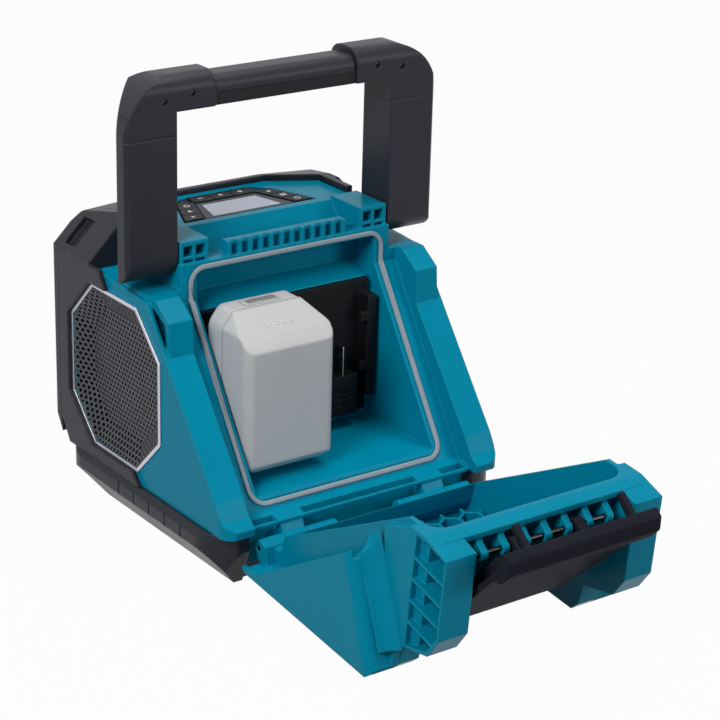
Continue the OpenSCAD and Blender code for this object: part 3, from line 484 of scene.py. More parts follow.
@dataclass(frozen=True)
class DisplayGlass(Finish):
    """A clear window over a pale unlit panel with faint rows."""

    tone: Tone
    shade: Tone

    def paint(self, graph: Graph) -> None:
        """Fills the material's tree.

        Args:
            graph: The tree.
        """
        point = graph.place()
        rows = graph.add("ShaderNodeTexWave", {"wave_type": "BANDS", "bands_direction": "Y"},
                         {"Vector": point, "Scale": 160.0, "Distortion": 0.0}, "Fac")
        haze = graph.noise(point, scale=30.0, detail=3.0)
        smear = graph.noise(graph.place((1.0, 0.3, 1.0)), scale=240.0, detail=3.0)
        colour = graph.mix(0.75 * haze + 0.25 * rows, self.shade, self.tone)
        graph.surface({"Base Color": colour, "Roughness": 0.10 + smear * 0.14,
                       "Coat Weight": 0.6, "Coat Roughness": 0.05,
                       "Normal": graph.soft_normal(radius=0.0004)})


@dataclass(frozen=True)
class PadPrint(Finish):
    """Printed ink, a little worn."""

    tone: Tone
    worn: Tone

    def paint(self, graph: Graph) -> None:
        """Fills the material's tree.

        Args:
            graph: The tree.
        """
        speck = graph.noise(graph.place(), scale=1600.0, detail=3.0)
        graph.surface({"Base Color": graph.mix(speck.between(0.45, 0.75), self.tone, self.worn),
                       "Roughness": 0.5 + speck * 0.2, "Normal": graph.bump(speck, depth=0.00002)})


@dataclass(frozen=True)
class StudioPaper(Finish):
    """White floor that keeps a soft shadow."""

    tone: Tone
    glow: float

    def paint(self, graph: Graph) -> None:
        """Fills the material's tree.

        Args:
            graph: The tree.
        """
        seen = seen_directly(graph)
        paper = graph.add("ShaderNodeBsdfDiffuse", None, {"Color": self.tone.value})
        white = graph.add("ShaderNodeEmission", None, {"Color": Tone.WHITE.value, "Strength": 1.0})
        graph.close(graph.add("ShaderNodeMixShader", None, {0: seen * self.glow, 1: paper, 2: white}))


def seen_directly(graph: Graph) -> Value:
    """A mask of the rays that show the background.

    Args:
        graph: The tree of a floor or a world.

    Returns:
        1 for camera, glossy and transmission rays and 0 for the others.
    """
    path = "ShaderNodeLightPath"
    seen = graph.add(path, output="Is Camera Ray").most(graph.add(path, output="Is Glossy Ray"))
    return seen.most(graph.add(path, output="Is Transmission Ray"))


# The third tone of each moulded finish is mixed along its edges, as wear and a painted highlight.
TEAL_SHELL = MouldedPlastic("teal_shell", Tone.TEAL, Tone.TEAL_DEEP, Tone.TEAL_EDGE,
                            roughness=0.24, grain=1300.0, grain_depth=0.00003,
                            edge_radius=0.0018, wear_and_highlight=0.60, shine=0.05)
BLACK_SHELL = MouldedPlastic("black_shell", Tone.BLACK, Tone.BLACK_DEEP, Tone.BLACK_EDGE,
                             roughness=0.40, grain=900.0, grain_depth=0.00008,
                             edge_radius=0.0024, wear_and_highlight=0.50, shine=0.20)
LEVER_SHELL = MouldedPlastic("lever_shell", Tone.BLACK, Tone.BLACK_DEEP, Tone.BLACK_EDGE,
                             roughness=0.56, grain=700.0, grain_depth=0.00012,
                             edge_radius=0.0022, wear_and_highlight=0.50, shine=0.01)
KEY_CAP = MouldedPlastic("key_cap", Tone.BLACK_DEEP, Tone.RUBBER, Tone.BLACK_EDGE,
                         roughness=0.42, grain=1100.0, grain_depth=0.00006,
                         edge_radius=0.0008, wear_and_highlight=0.5)
TERMINAL_BLOCK = MouldedPlastic("terminal_block", Tone.RUBBER, Tone.MESH_WIRE, Tone.BLACK_EDGE,
                                roughness=0.48, grain=900.0, grain_depth=0.00008,
                                edge_radius=0.0014, wear_and_highlight=0.40, shine=0.10)
PACK_SHELL = MouldedPlastic("battery_shell", Tone.PACK, Tone.PACK_SHADE, Tone.PACK_EDGE,
                            roughness=0.40, grain=1200.0, grain_depth=0.00006,
                            edge_radius=0.0032, wear_and_highlight=0.5)
DISPLAY_TRIM = MouldedPlastic("display_trim", Tone.SCREEN_RIM, Tone.BLACK_EDGE, Tone.STEEL_SHADE,
                              roughness=0.36, grain=1000.0, grain_depth=0.00005,
                              edge_radius=0.0006, wear_and_highlight=0.35)
BLACK_RUBBER = SoftRubber("black_rubber", Tone.RUBBER, Tone.RUBBER_DUST, roughness=0.62)
GASKET_FOAM = FoamSeal("gasket_foam", Tone.FOAM, Tone.FOAM_PORE)
GRILLE_METAL = CoatedSteel("grille_metal", Tone.GRILLE, Tone.GRILLE_DEEP, roughness=0.38, metal=0.6)
# The backing plate's near-black finish also paints the shade seen through the grille holes.
SCREEN_MESH = CoatedSteel("screen_mesh", Tone.MESH, Tone.MESH_WIRE, roughness=0.8, metal=0.9)
DRIVER_BASKET = CoatedSteel("driver_basket", Tone.BLACK, Tone.BLACK_DEEP, roughness=0.48, metal=0.2)
SILVER_TRIM = BareMetal("silver_trim", Tone.CHROME, Tone.CHROME_SHADE,
                        roughness=0.36, drawn=(120.0, 900.0, 900.0), edge_radius=0.0008)
MAGNET_CORE = BareMetal("magnet_core", Tone.STEEL, Tone.STEEL_SHADE,
                        roughness=0.38, drawn=(700.0, 700.0, 700.0))
STEEL_HARDWARE = BareMetal("steel_hardware", Tone.ROD, Tone.ROD_SHADE,
                           roughness=0.26, drawn=(60.0, 1500.0, 1500.0))
CONTACT_METAL = BareMetal("contact_metal", Tone.TIN, Tone.TIN_SHADE,
                          roughness=0.24, drawn=(1500.0, 1500.0, 120.0))
CONE_PAPER = PressedPaper("cone_paper", Tone.CONE, Tone.CONE_FIBRE)
CIRCUIT_BOARD = CircuitLaminate("circuit_board", Tone.BOARD, Tone.BOARD_TRACK)
DISPLAY_GLASS = DisplayGlass("display_glass", Tone.SCREEN, Tone.SCREEN_SHADE)
KEY_PRINT = PadPrint("key_print", Tone.MARK, Tone.MARK_WORN)
LENS_CLEAR = MouldedPlastic("gauge_lens", Tone.LENS, Tone.PACK, Tone.PACK_EDGE,
                            roughness=0.16, grain=600.0, grain_depth=0.00002,
                            edge_radius=0.0004, wear_and_highlight=0.3, gloss=0.5)
STUDIO_PAPER = StudioPaper("studio_paper", Tone.FLOOR, glow=0.97)


class Pick(Enum):
    """A kind of selection in edit mode, with the name of the mesh's list of such elements."""

    VERT = "vertices"
    EDGE = "edges"
    FACE = "polygons"


class Bench:
    """Shared steps of modelling with Blender's operators."""

    double_gap: ClassVar[float] = 1e-6
    weld_gap: ClassVar[float] = 1e-5
    flat_angle: ClassVar[float] = 1.0
    sharp_angle: ClassVar[float] = 28.0
    round_steps: ClassVar[int] = 4
    round_angle: ClassVar[float] = 40.0

    @staticmethod
    def clear() -> None:
        """Leaves edit mode and deselects everything."""
        if bpy.context.object is not None and bpy.context.object.mode != "OBJECT":
            Bench.done()
        bpy.ops.object.select_all(action="DESELECT")

    @staticmethod
    def named(name: str) -> Piece:
        """Names the active object and its mesh, and returns it."""
        made = bpy.context.object
        made.name = made.data.name = name
        return made

    @staticmethod
    def edit(pick: Pick) -> None:
        """Enters edit mode with one kind of selection."""
        bpy.ops.object.mode_set(mode="EDIT")
        bpy.ops.mesh.select_mode(type=pick.name)

    @staticmethod
    def edit_all(pick: Pick) -> None:
        """Enters edit mode with everything selected."""
        Bench.edit(pick)
        bpy.ops.mesh.select_all(action="SELECT")

    @staticmethod
    def done() -> None:
        """Goes back to object mode."""
        bpy.ops.object.mode_set(mode="OBJECT")

    @staticmethod
    def choose(made: Piece, pick: Pick, chosen: ElementTest) -> None:
        """Selects the elements that pass a test, and stays in edit mode.

        Args:
            made: The active object.
            pick: The kind of element.
            chosen: The test of one element.
        """
        Bench.edit(pick)
        bpy.ops.mesh.select_all(action="DESELECT")
        Bench.done()
        for element in getattr(made.data, pick.value):
            element.select = chosen(element)
        Bench.edit(pick)

    @staticmethod
    def raise_faces(height: Point) -> None:
        """Extrudes the selected faces by a vector."""
        bpy.ops.mesh.extrude_region_move(TRANSFORM_OT_translate={"value": height})

    @staticmethod
    def outward() -> None:
        """Merges doubles and turns every normal outward, in edit mode."""
        bpy.ops.mesh.select_all(action="SELECT")
        bpy.ops.mesh.remove_doubles(threshold=Bench.double_gap)
        bpy.ops.mesh.normals_make_consistent(inside=False)

    @staticmethod
    def modify(made: Piece, kind: str, **settings: object) -> None:
        """Adds a modifier and applies it.

        Args:
            made: The object.
            kind: The modifier's type.
            settings: Its settings.
        """
        bpy.context.view_layer.objects.active = made
        modifier = made.modifiers.new(kind.lower(), kind)
        for name, setting in settings.items():
            setattr(modifier, name, setting)
        bpy.ops.object.modifier_apply(modifier=modifier.name)

    @staticmethod
    def settle(made: Piece, angle: float = 35.0) -> None:
        """Puts the object's place into its mesh and shades it smooth by angle.

        Args:
            made: The object.
            angle: The angle in degrees above which an edge stays sharp.
        """
        Bench.clear()
        made.select_set(True)
        bpy.context.view_layer.objects.active = made
        bpy.ops.object.transform_apply(location=True, rotation=True, scale=True)
        bpy.ops.object.shade_smooth_by_angle(angle=math.radians(angle))
        made.select_set(False)

    @staticmethod
    def copy(made: Piece, name: str) -> Piece:
        """Copies an object with a mesh of its own.

        Args:
            made: The object.
            name: The copy's name.

        Returns:
            The copy, at the same place.
        """
        twin = made.copy()
        twin.data = made.data.copy()
        twin.name = twin.data.name = name
        bpy.context.collection.objects.link(twin)
        return twin

    @staticmethod
    def repeat(first: Piece, places: Sequence[Point], name: str) -> Piece:
        """Sets an object and its copies at given places and joins them.

        Args:
            first: The object, which takes the first place.
            places: The places.
            name: The name of the joined object.

        Returns:
            The joined object.
        """
        parts = [first]
        for number in range(1, len(places)):
            parts.append(Bench.copy(first, "%s_%d" % (name, number)))
        for part, place in zip(parts, places):
            part.location = place
        Bench.clear()
        for part in parts:
            part.select_set(True)
        bpy.context.view_layer.objects.active = first
        bpy.ops.object.join()
        return Bench.named(name)

    @staticmethod
    def merged_copy(node: str, name: str) -> Piece:
        """Copies a CAD node and merges its triangles into whole faces, and stays in edit mode.

        Args:
            node: The CAD node.
            name: The copy's name.

        Returns:
            The copy, which rides on nothing yet.
        """
        Bench.clear()
        twin = Bench.copy(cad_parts[node], name)
        twin.parent = None
        twin.select_set(True)
        bpy.context.view_layer.objects.active = twin
        Bench.edit_all(Pick.EDGE)
        bpy.ops.mesh.remove_doubles(threshold=Bench.weld_gap)
        bpy.ops.mesh.dissolve_limited(angle_limit=math.radians(Bench.flat_angle))
        return twin

    @staticmethod
    def soften(node: str, name: str, width: float, chosen: EdgeTest) -> Piece:
        """Copies a CAD node and rounds those of its sharp edges that pass a test.

        Args:
            node: The CAD node, which the copy replaces.
            name: The copy's name.
            width: How far the rounding reaches from an edge.
            chosen: A test of an edge's two ends.

        Returns:
            The rounded copy.
        """
        twin = Bench.merged_copy(node, name)
        bpy.ops.mesh.select_all(action="DESELECT")
        bpy.ops.mesh.edges_select_sharp(sharpness=math.radians(Bench.sharp_angle))
        Bench.done()
        points = twin.data.vertices
        kept = {edge.index for edge in twin.data.edges
                if edge.select and chosen(*(points[v].co for v in edge.vertices))}
        Bench.choose(twin, Pick.EDGE, lambda edge: edge.index in kept)
        bpy.ops.mesh.bevel(offset=width, segments=Bench.round_steps, affect="EDGES", clamp_overlap=True)
        Bench.done()
        bpy.ops.mesh.customdata_custom_splitnormals_clear()
        Bench.settle(twin, Bench.round_angle)
        Bench.modify(twin, "WEIGHTED_NORMAL", keep_sharp=True)
        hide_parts(node)
        return twin

    @staticmethod
    def hand_over(made: Piece, finish: Finish, slot: str, body: str) -> None:
        """Gives a finished piece its material and the body that it rides on.

        Args:
            made: The piece.
            finish: Its finish.
            slot: Not used.
            body: The body's name.
        """
        made.data.materials.clear()
        made.data.materials.append(finish.material())
        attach(made, body)
        LOG.info("piece %s rides on %s", made.name, body)


def dress(names: Iterable[str], finish: Finish) -> None:
    """Gives CAD nodes a finish.

    Args:
        names: The nodes.
        finish: Their finish.
    """
    for name in names:
        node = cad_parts[name]
        if not node.material_slots:
            node.data.materials.append(None)
        for slot in node.material_slots:
            slot.material = finish.material()
        LOG.info("node %s has finish %s", name, finish.name)


@dataclass(frozen=True)
class Octagon:
    """A rectangle with cut corners."""

    width: float
    height: float
    cut: float

    def sides(self) -> List[Tuple[Vector, float]]:
        """The eight sides.

        Returns:
            Each side's normal in the plane and its distance from the centre.
        """
        half_w, half_h = self.width / 2, self.height / 2
        corner = (half_w + half_h - self.cut) * math.sqrt(0.5)
        found = []
        for step in range(8):
            turn = math.radians(45.0 * step)
            reach = corner if step % 2 else (half_h if step % 4 else half_w)
            found.append((Vector((math.cos(turn), math.sin(turn))), reach))
        return found


class Facing(Enum):
    """The way a grille faces, as its across, up and outward axes."""

    LEFT = ((0, -1, 0), (0, 0, 1), (-1, 0, 0))
    RIGHT = ((0, 1, 0), (0, 0, 1), (1, 0, 0))
    FRONT = ((-1, 0, 0), (0, 0, 1), (0, 1, 0))


@dataclass
class PerforatedGrille:
    """A dished sheet with staggered round holes that stands for a grille's CAD node."""

    node: str
    facing: Facing
    middle: Point
    rim: Octagon
    floor: Octagon
    depth: float
    pitch: float = 0.0044
    hole: float = 0.0032
    sheet: float = 0.0011
    sides: int = 12
    screen_gap: float = 0.0016
    screen_sheet: float = 0.0004
    screen_cuts: int = 32
    screen_factor: float = 1.1
    smooth_angle: float = 40.0

    def build(self) -> None:
        """Builds the sheet in the plane, cuts it, dishes it and gives it its thickness."""
        made = self._field(self._cell())
        self._trim(made)
        self._dish(made)
        Bench.modify(made, "SOLIDIFY", thickness=self.sheet, offset=-1.0)
        Bench.settle(made, self.smooth_angle)
        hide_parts(self.node)
        Bench.hand_over(made, GRILLE_METAL, "grille_metal", "cabinet")

    def back_screen(self) -> None:
        """Builds the dark mesh plate that stands just behind the sheet, pressed to the same dish; it stands
        for the black backing, and its near-black tone also paints the shade in the holes.
        """
        Bench.clear()
        bpy.ops.mesh.primitive_grid_add(x_subdivisions=self.screen_cuts, y_subdivisions=self.screen_cuts,
                                        size=1.0)
        made = Bench.named(self.node + "_screen")
        Bench.edit_all(Pick.VERT)
        width, height = self.rim.width * self.screen_factor, self.rim.height * self.screen_factor
        bpy.ops.transform.resize(value=(width, height, 1.0))
        self._trim(made)
        self._dish(made)
        Bench.edit_all(Pick.VERT)
        bpy.ops.transform.translate(value=Vector(self.facing.value[2]) * -self.screen_gap)
        Bench.done()
        Bench.modify(made, "SOLIDIFY", thickness=self.screen_sheet, offset=-1.0)
        Bench.settle(made, self.smooth_angle)
        Bench.hand_over(made, SCREEN_MESH, "grille_metal", "cabinet")

    def _cell(self) -> Piece:
        """One six-sided cell with a round hole, as a flat ring of faces.

        Returns:
            The cell.
        """
        Bench.clear()
        bpy.ops.mesh.primitive_circle_add(vertices=self.sides, radius=self.hole / 2, fill_type="NOTHING")
        cell = Bench.named(self.node + "_sheet")
        Bench.edit_all(Pick.EDGE)
        bpy.ops.mesh.extrude_edges_move()
        corner = self.pitch / math.sqrt(3.0)
        grow = corner / (self.hole / 2)
        bpy.ops.transform.resize(value=(grow, grow, 1.0))
        Bench.done()
        # Every second point moves in to the middle of a side of the cell.
        flat = math.cos(math.pi / 6)
        step = 2 * math.pi / 6
        for vert in cell.data.vertices:
            off = abs((math.atan2(vert.co.y, vert.co.x) + step / 4) % step - step / 4)
            vert.select = vert.select and off > step / 4
        Bench.edit(Pick.VERT)
        bpy.ops.transform.resize(value=(flat, flat, 1.0))
        bpy.ops.mesh.select_all(action="SELECT")
        bpy.ops.transform.rotate(value=math.pi / 6, orient_axis="Z", center_override=(0, 0, 0))
        bpy.ops.mesh.duplicate_move(TRANSFORM_OT_translate={
            "value": (self.pitch / 2, self.pitch * math.sqrt(0.75), 0.0)})
        Bench.done()
        return cell

    def _field(self, cell: Piece) -> Piece:
        """Repeats the cell over the grille's field.

        Args:
            cell: The two staggered cells.

        Returns:
            The field, about the centre of the plane.
        """
        row = self.pitch * math.sqrt(3.0)
        across = 2 * math.ceil(self.rim.width / self.pitch / 2 + 1)
        up = 2 * math.ceil(self.rim.height / row / 2 + 1)
        for count, step in ((across, (self.pitch, 0.0, 0.0)), (up, (0.0, row, 0.0))):
            Bench.modify(cell, "ARRAY", count=count, use_relative_offset=False, use_constant_offset=True,
                         constant_offset_displace=step)
        Bench.edit(Pick.VERT)
        Bench.outward()
        bpy.ops.transform.translate(value=(-across * self.pitch / 2, -up * row / 2, 0.0))
        Bench.done()
        return cell

    def _trim(self, made: Piece) -> None:
        """Cuts the field to the rim's outline.

        Args:
            made: The field.
        """
        Bench.edit(Pick.VERT)
        for normal, reach in self.rim.sides():
            bpy.ops.mesh.select_all(action="SELECT")
            spot = normal * reach
            bpy.ops.mesh.bisect(plane_co=(spot.x, spot.y, 0.0), plane_no=(normal.x, normal.y, 0.0),
                                clear_outer=True)
        Bench.done()

    def _dish(self, made: Piece) -> None:
        """Sinks the field between the rim and the floor and sets it in its place.

        Args:
            made: The trimmed field.
        """
        walls = list(zip(self.rim.sides(), self.floor.sides()))
        across, up, out = (Vector(axis) for axis in self.facing.value)
        middle = Vector(self.middle)
        for vert in made.data.vertices:
            flat = Vector((vert.co.x, vert.co.y))
            sunk = min((rim - side.dot(flat)) / (rim - floor) for (side, rim), (_, floor) in walls)
            sunk = min(max(sunk, 0.0), 1.0)
            vert.co = middle + across * flat.x + up * flat.y - out * (sunk * self.depth)
        Bench.edit_all(Pick.FACE)
        if made.data.polygons[0].normal.dot(out) < 0:
            bpy.ops.mesh.flip_normals()
        Bench.done()


@dataclass
class Cabinet:
    """Shells, frames, seals and the parts inside them."""

    half_width: float = 0.124
    front: float = 0.120
    driver_height: float = 0.126
    side_middle: Tuple[float, float] = (0.039, 0.116)
    side_span: float = 0.130
    side_cut: float = 0.033
    front_span: Tuple[float, float] = (0.212, 0.132)
    front_cut: float = 0.040
    rim_inset: float = 0.00285
    floor_inset: float = 0.0198
    side_depth: float = 0.0085
    side_proud: float = 0.0005
    front_rim_inset: float = 0.00503
    front_floor_inset: float = 0.019
    front_depth: float = 0.0031
    front_sunk: float = 0.0017
    cut_share: float = 0.6
    seal_round: float = 0.0008
    seal_steps: int = 3
    seal_angle: float = 50.0

    def dress(self) -> None:
        """Gives the cabinet's CAD nodes their finishes."""
        dress(("rear_housing", "battery_bay", "front_housing"), TEAL_SHELL)
        dress(("base_tub", "front_rim", "side_frame_left", "side_frame_right"), BLACK_SHELL)
        dress(("terminal_left", "terminal_right"), TERMINAL_BLOCK)
        dress(("feet",), BLACK_RUBBER)
        for part, finish in (("bezel", SILVER_TRIM), ("grille", GRILLE_METAL), ("cone", CONE_PAPER),
                             ("driver_frame", DRIVER_BASKET), ("magnet", MAGNET_CORE)):
            dress(("side_%s_left" % part, "side_%s_right" % part, "front_%s" % part), finish)
        dress(("driver_screws", "handle_pins"), STEEL_HARDWARE)
        dress(("contacts_left", "contacts_right"), CONTACT_METAL)
        dress(("main_board",), CIRCUIT_BOARD)
        dress(("gasket",), GASKET_FOAM)

    def outline(self, span: Tuple[float, float], cut: float, inset: float) -> Octagon:
        """A grille outline, drawn in from the outer one.

        Args:
            span: Width and height of the outer outline.
            cut: The outer outline's corner cut.
            inset: How far it is drawn in.

        Returns:
            The outline.
        """
        return Octagon(span[0] - 2 * inset, span[1] - 2 * inset, cut - self.cut_share * inset)

    def grilles(self) -> None:
        """Builds the three perforated grilles and the plates behind them."""
        span = (self.side_span, self.side_span)
        rim = self.outline(span, self.side_cut, self.rim_inset)
        floor = self.outline(span, self.side_cut, self.floor_inset)
        grilles = []
        for sign, name, facing in ((-1, "left", Facing.LEFT), (1, "right", Facing.RIGHT)):
            middle = (sign * (self.half_width + self.side_proud), *self.side_middle)
            node = "side_grille_" + name
            grilles.append(PerforatedGrille(node, facing, middle, rim, floor, self.side_depth))
        rim = self.outline(self.front_span, self.front_cut, self.front_rim_inset)
        floor = self.outline(self.front_span, self.front_cut, self.front_floor_inset)
        middle = (0.0, self.front - self.front_sunk, self.driver_height)
        grilles.append(PerforatedGrille("front_grille", Facing.FRONT, middle, rim, floor, self.front_depth))
        for grille in grilles:
            grille.build()
            grille.back_screen()

    def seal(self) -> None:
        """Rounds a copy of the gasket into a soft bead."""
        bead = Bench.merged_copy("gasket", "gasket_bead")
        Bench.done()
        Bench.modify(bead, "BEVEL", width=self.seal_round, segments=self.seal_steps, limit_method="ANGLE",
                     angle_limit=math.radians(self.seal_angle))
        Bench.settle(bead, self.seal_angle)
        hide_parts("gasket")
        Bench.hand_over(bead, GASKET_FOAM, "gasket_foam", "cabinet")


class MarkShape(Enum):
    """Plain marks printed on the keys."""

    PLUS = "plus"
    MINUS = "minus"
    ARROW = "arrow"
    RING = "ring"
    PAIR = "pair"
    DOT = "dot"


@dataclass
class ControlDeck:
    """The control panel with its display, keys and printed marks."""

    mark_size: float = 0.0046
    mark_line: float = 0.0010
    mark_height: float = 0.00015
    round_sides: int = 20
    round_share: float = 0.55
    dot_share: float = 0.35
    ring_share: float = 0.7

    def dress(self) -> None:
        """Gives the deck's CAD nodes their finishes."""
        dress(("control_panel",), BLACK_SHELL)
        dress(self.marks(), KEY_CAP)
        dress(("display_bezel",), DISPLAY_TRIM)
        dress(("display_window",), DISPLAY_GLASS)

    @staticmethod
    def marks() -> Dict[str, MarkShape]:
        """The keys and the mark on each."""
        return {
            "key_front_left": MarkShape.MINUS, "key_front_mid": MarkShape.ARROW,
            "key_front_right": MarkShape.PLUS, "key_right_a": MarkShape.RING,
            "key_right_b": MarkShape.PAIR, "key_right_c": MarkShape.DOT,
            "key_left_a": MarkShape.DOT, "key_left_b": MarkShape.ARROW, "key_left_c": MarkShape.RING,
        }

    def print_marks(self) -> None:
        """Builds each key's mark on the middle of its top."""
        for key, shape in self.marks().items():
            low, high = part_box(key)
            self._flat(shape)
            mark = Bench.named(key + "_mark")
            Bench.edit_all(Pick.FACE)
            Bench.raise_faces((0.0, 0.0, self.mark_height))
            Bench.outward()
            Bench.done()
            mark.location = ((low.x + high.x) / 2, (low.y + high.y) / 2, high.z)
            Bench.settle(mark)
            Bench.hand_over(mark, KEY_PRINT, "key_cap", key)

    def _flat(self, shape: MarkShape) -> None:
        """Draws a mark's flat outline about the origin.

        Args:
            shape: The mark.
        """
        Bench.clear()
        if shape in (MarkShape.ARROW, MarkShape.RING, MarkShape.DOT):
            self._round(shape)
        else:
            self._barred(shape)

    def _round(self, shape: MarkShape) -> None:
        """Draws a triangle, a ring or a dot.

        Args:
            shape: The mark.
        """
        corners = 3 if shape is MarkShape.ARROW else self.round_sides
        share = self.dot_share if shape is MarkShape.DOT else self.round_share
        bpy.ops.mesh.primitive_circle_add(vertices=corners, radius=self.mark_size * share, fill_type="NGON")
        if shape is MarkShape.RING:
            Bench.edit_all(Pick.FACE)
            bpy.ops.mesh.inset(thickness=self.mark_line * self.ring_share)
            bpy.ops.mesh.delete(type="FACE")
            Bench.done()

    def _barred(self, shape: MarkShape) -> None:
        """Draws a plus, a minus or a pair of bars from a grid of nine faces.

        Args:
            shape: The mark.
        """
        size, line = self.mark_size, self.mark_line
        bpy.ops.mesh.primitive_grid_add(x_subdivisions=3, y_subdivisions=3, size=size)
        flat = bpy.context.object
        inner = size / 6
        narrow = line / 2 / inner
        for axis, squeeze in ((0, (narrow, 1.0, 1.0)), (1, (1.0, narrow, 1.0))):
            Bench.choose(flat, Pick.VERT, lambda vert: abs(vert.co[axis]) < size / 4)
            bpy.ops.transform.resize(value=squeeze)
        tests: Dict[MarkShape, ElementTest] = {
            MarkShape.PLUS: lambda face: abs(face.center.x) > line and abs(face.center.y) > line,
            MarkShape.MINUS: lambda face: abs(face.center.y) > line,
            MarkShape.PAIR: lambda face: abs(face.center.x) < size / 8,
        }
        Bench.choose(flat, Pick.FACE, tests[shape])
        bpy.ops.mesh.delete(type="FACE")
        Bench.done()


@dataclass
class CarryHandle:
    """The folding handle with its grip and screw heads."""

    shells: Tuple[str, ...] = ("handle_leg_left", "handle_leg_right", "handle_corner_left",
                               "handle_corner_right", "handle_grip")
    edge_round: float = 0.0026
    hole_edge: float = 0.0016
    screw_reach: float = 0.006
    head_radius: float = 0.0022
    head_depth: float = 0.003
    head_sides: int = 24
    head_round: float = 0.0003
    head_steps: int = 2
    socket_wall: float = 0.0009
    socket_depth: float = 0.0012
    smooth_angle: float = 30.0

    def dress(self) -> None:
        """Gives the handle's CAD nodes their finishes."""
        dress(self.shells, BLACK_SHELL)
        dress(("grip_insert",), BLACK_RUBBER)
        dress(("handle_screws",), STEEL_HARDWARE)

    def round_edges(self) -> None:
        """Rounds the long edges of the legs, corners and grip."""
        for node in self.shells:
            made = Bench.soften(node, node + "_rounded", self.edge_round, self._long)
            Bench.hand_over(made, BLACK_SHELL, "black_shell", "handle")

    def _long(self, start: Vector, end: Vector) -> bool:
        """Whether an edge is longer than those of a screw hole."""
        return (end - start).length > self.hole_edge

    def screw_heads(self) -> None:
        """Models one socket head and copies it to the screws' places."""
        low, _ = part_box("handle_screws")
        places = [(across, low.y, up) for across, up in self._centres()]
        made = Bench.repeat(self._head(), places, "handle_screw_heads")
        Bench.settle(made, self.smooth_angle)
        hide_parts("handle_screws")
        Bench.hand_over(made, STEEL_HARDWARE, "steel_hardware", "handle")

    def _centres(self) -> List[Tuple[float, float]]:
        """The screws' middles, from the clusters of the CAD node's vertices.

        Returns:
            Across and up for each screw.
        """
        groups: List[List[Vector]] = []
        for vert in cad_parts["handle_screws"].data.vertices:
            near = [g for g in groups
                    if max(abs(g[0].x - vert.co.x), abs(g[0].z - vert.co.z)) < self.screw_reach]
            if near:
                near[0].append(vert.co)
            else:
                groups.append([vert.co])
        return [((min(c.x for c in g) + max(c.x for c in g)) / 2,
                 (min(c.z for c in g) + max(c.z for c in g)) / 2) for g in groups]

    def _head(self) -> Piece:
        """One socket head about the origin, facing -Y.

        Returns:
            The head.
        """
        Bench.clear()
        bpy.ops.mesh.primitive_cylinder_add(vertices=self.head_sides, radius=self.head_radius,
                                            depth=self.head_depth, location=(0, self.head_depth / 2, 0),
                                            rotation=(math.pi / 2, 0, 0))
        head = Bench.named("handle_screw")
        bpy.ops.object.transform_apply(location=True, rotation=True, scale=True)
        Bench.choose(head, Pick.FACE, lambda face: face.normal.y < -ALONG)
        bpy.ops.mesh.bevel(offset=self.head_round, segments=self.head_steps, affect="EDGES")
        Bench.choose(head, Pick.FACE, lambda face: face.normal.y < -ALONG and face.center.y < NEAR)
        bpy.ops.mesh.inset(thickness=self.socket_wall)
        Bench.raise_faces((0.0, self.socket_depth, 0.0))
        Bench.outward()
        Bench.done()
        return head


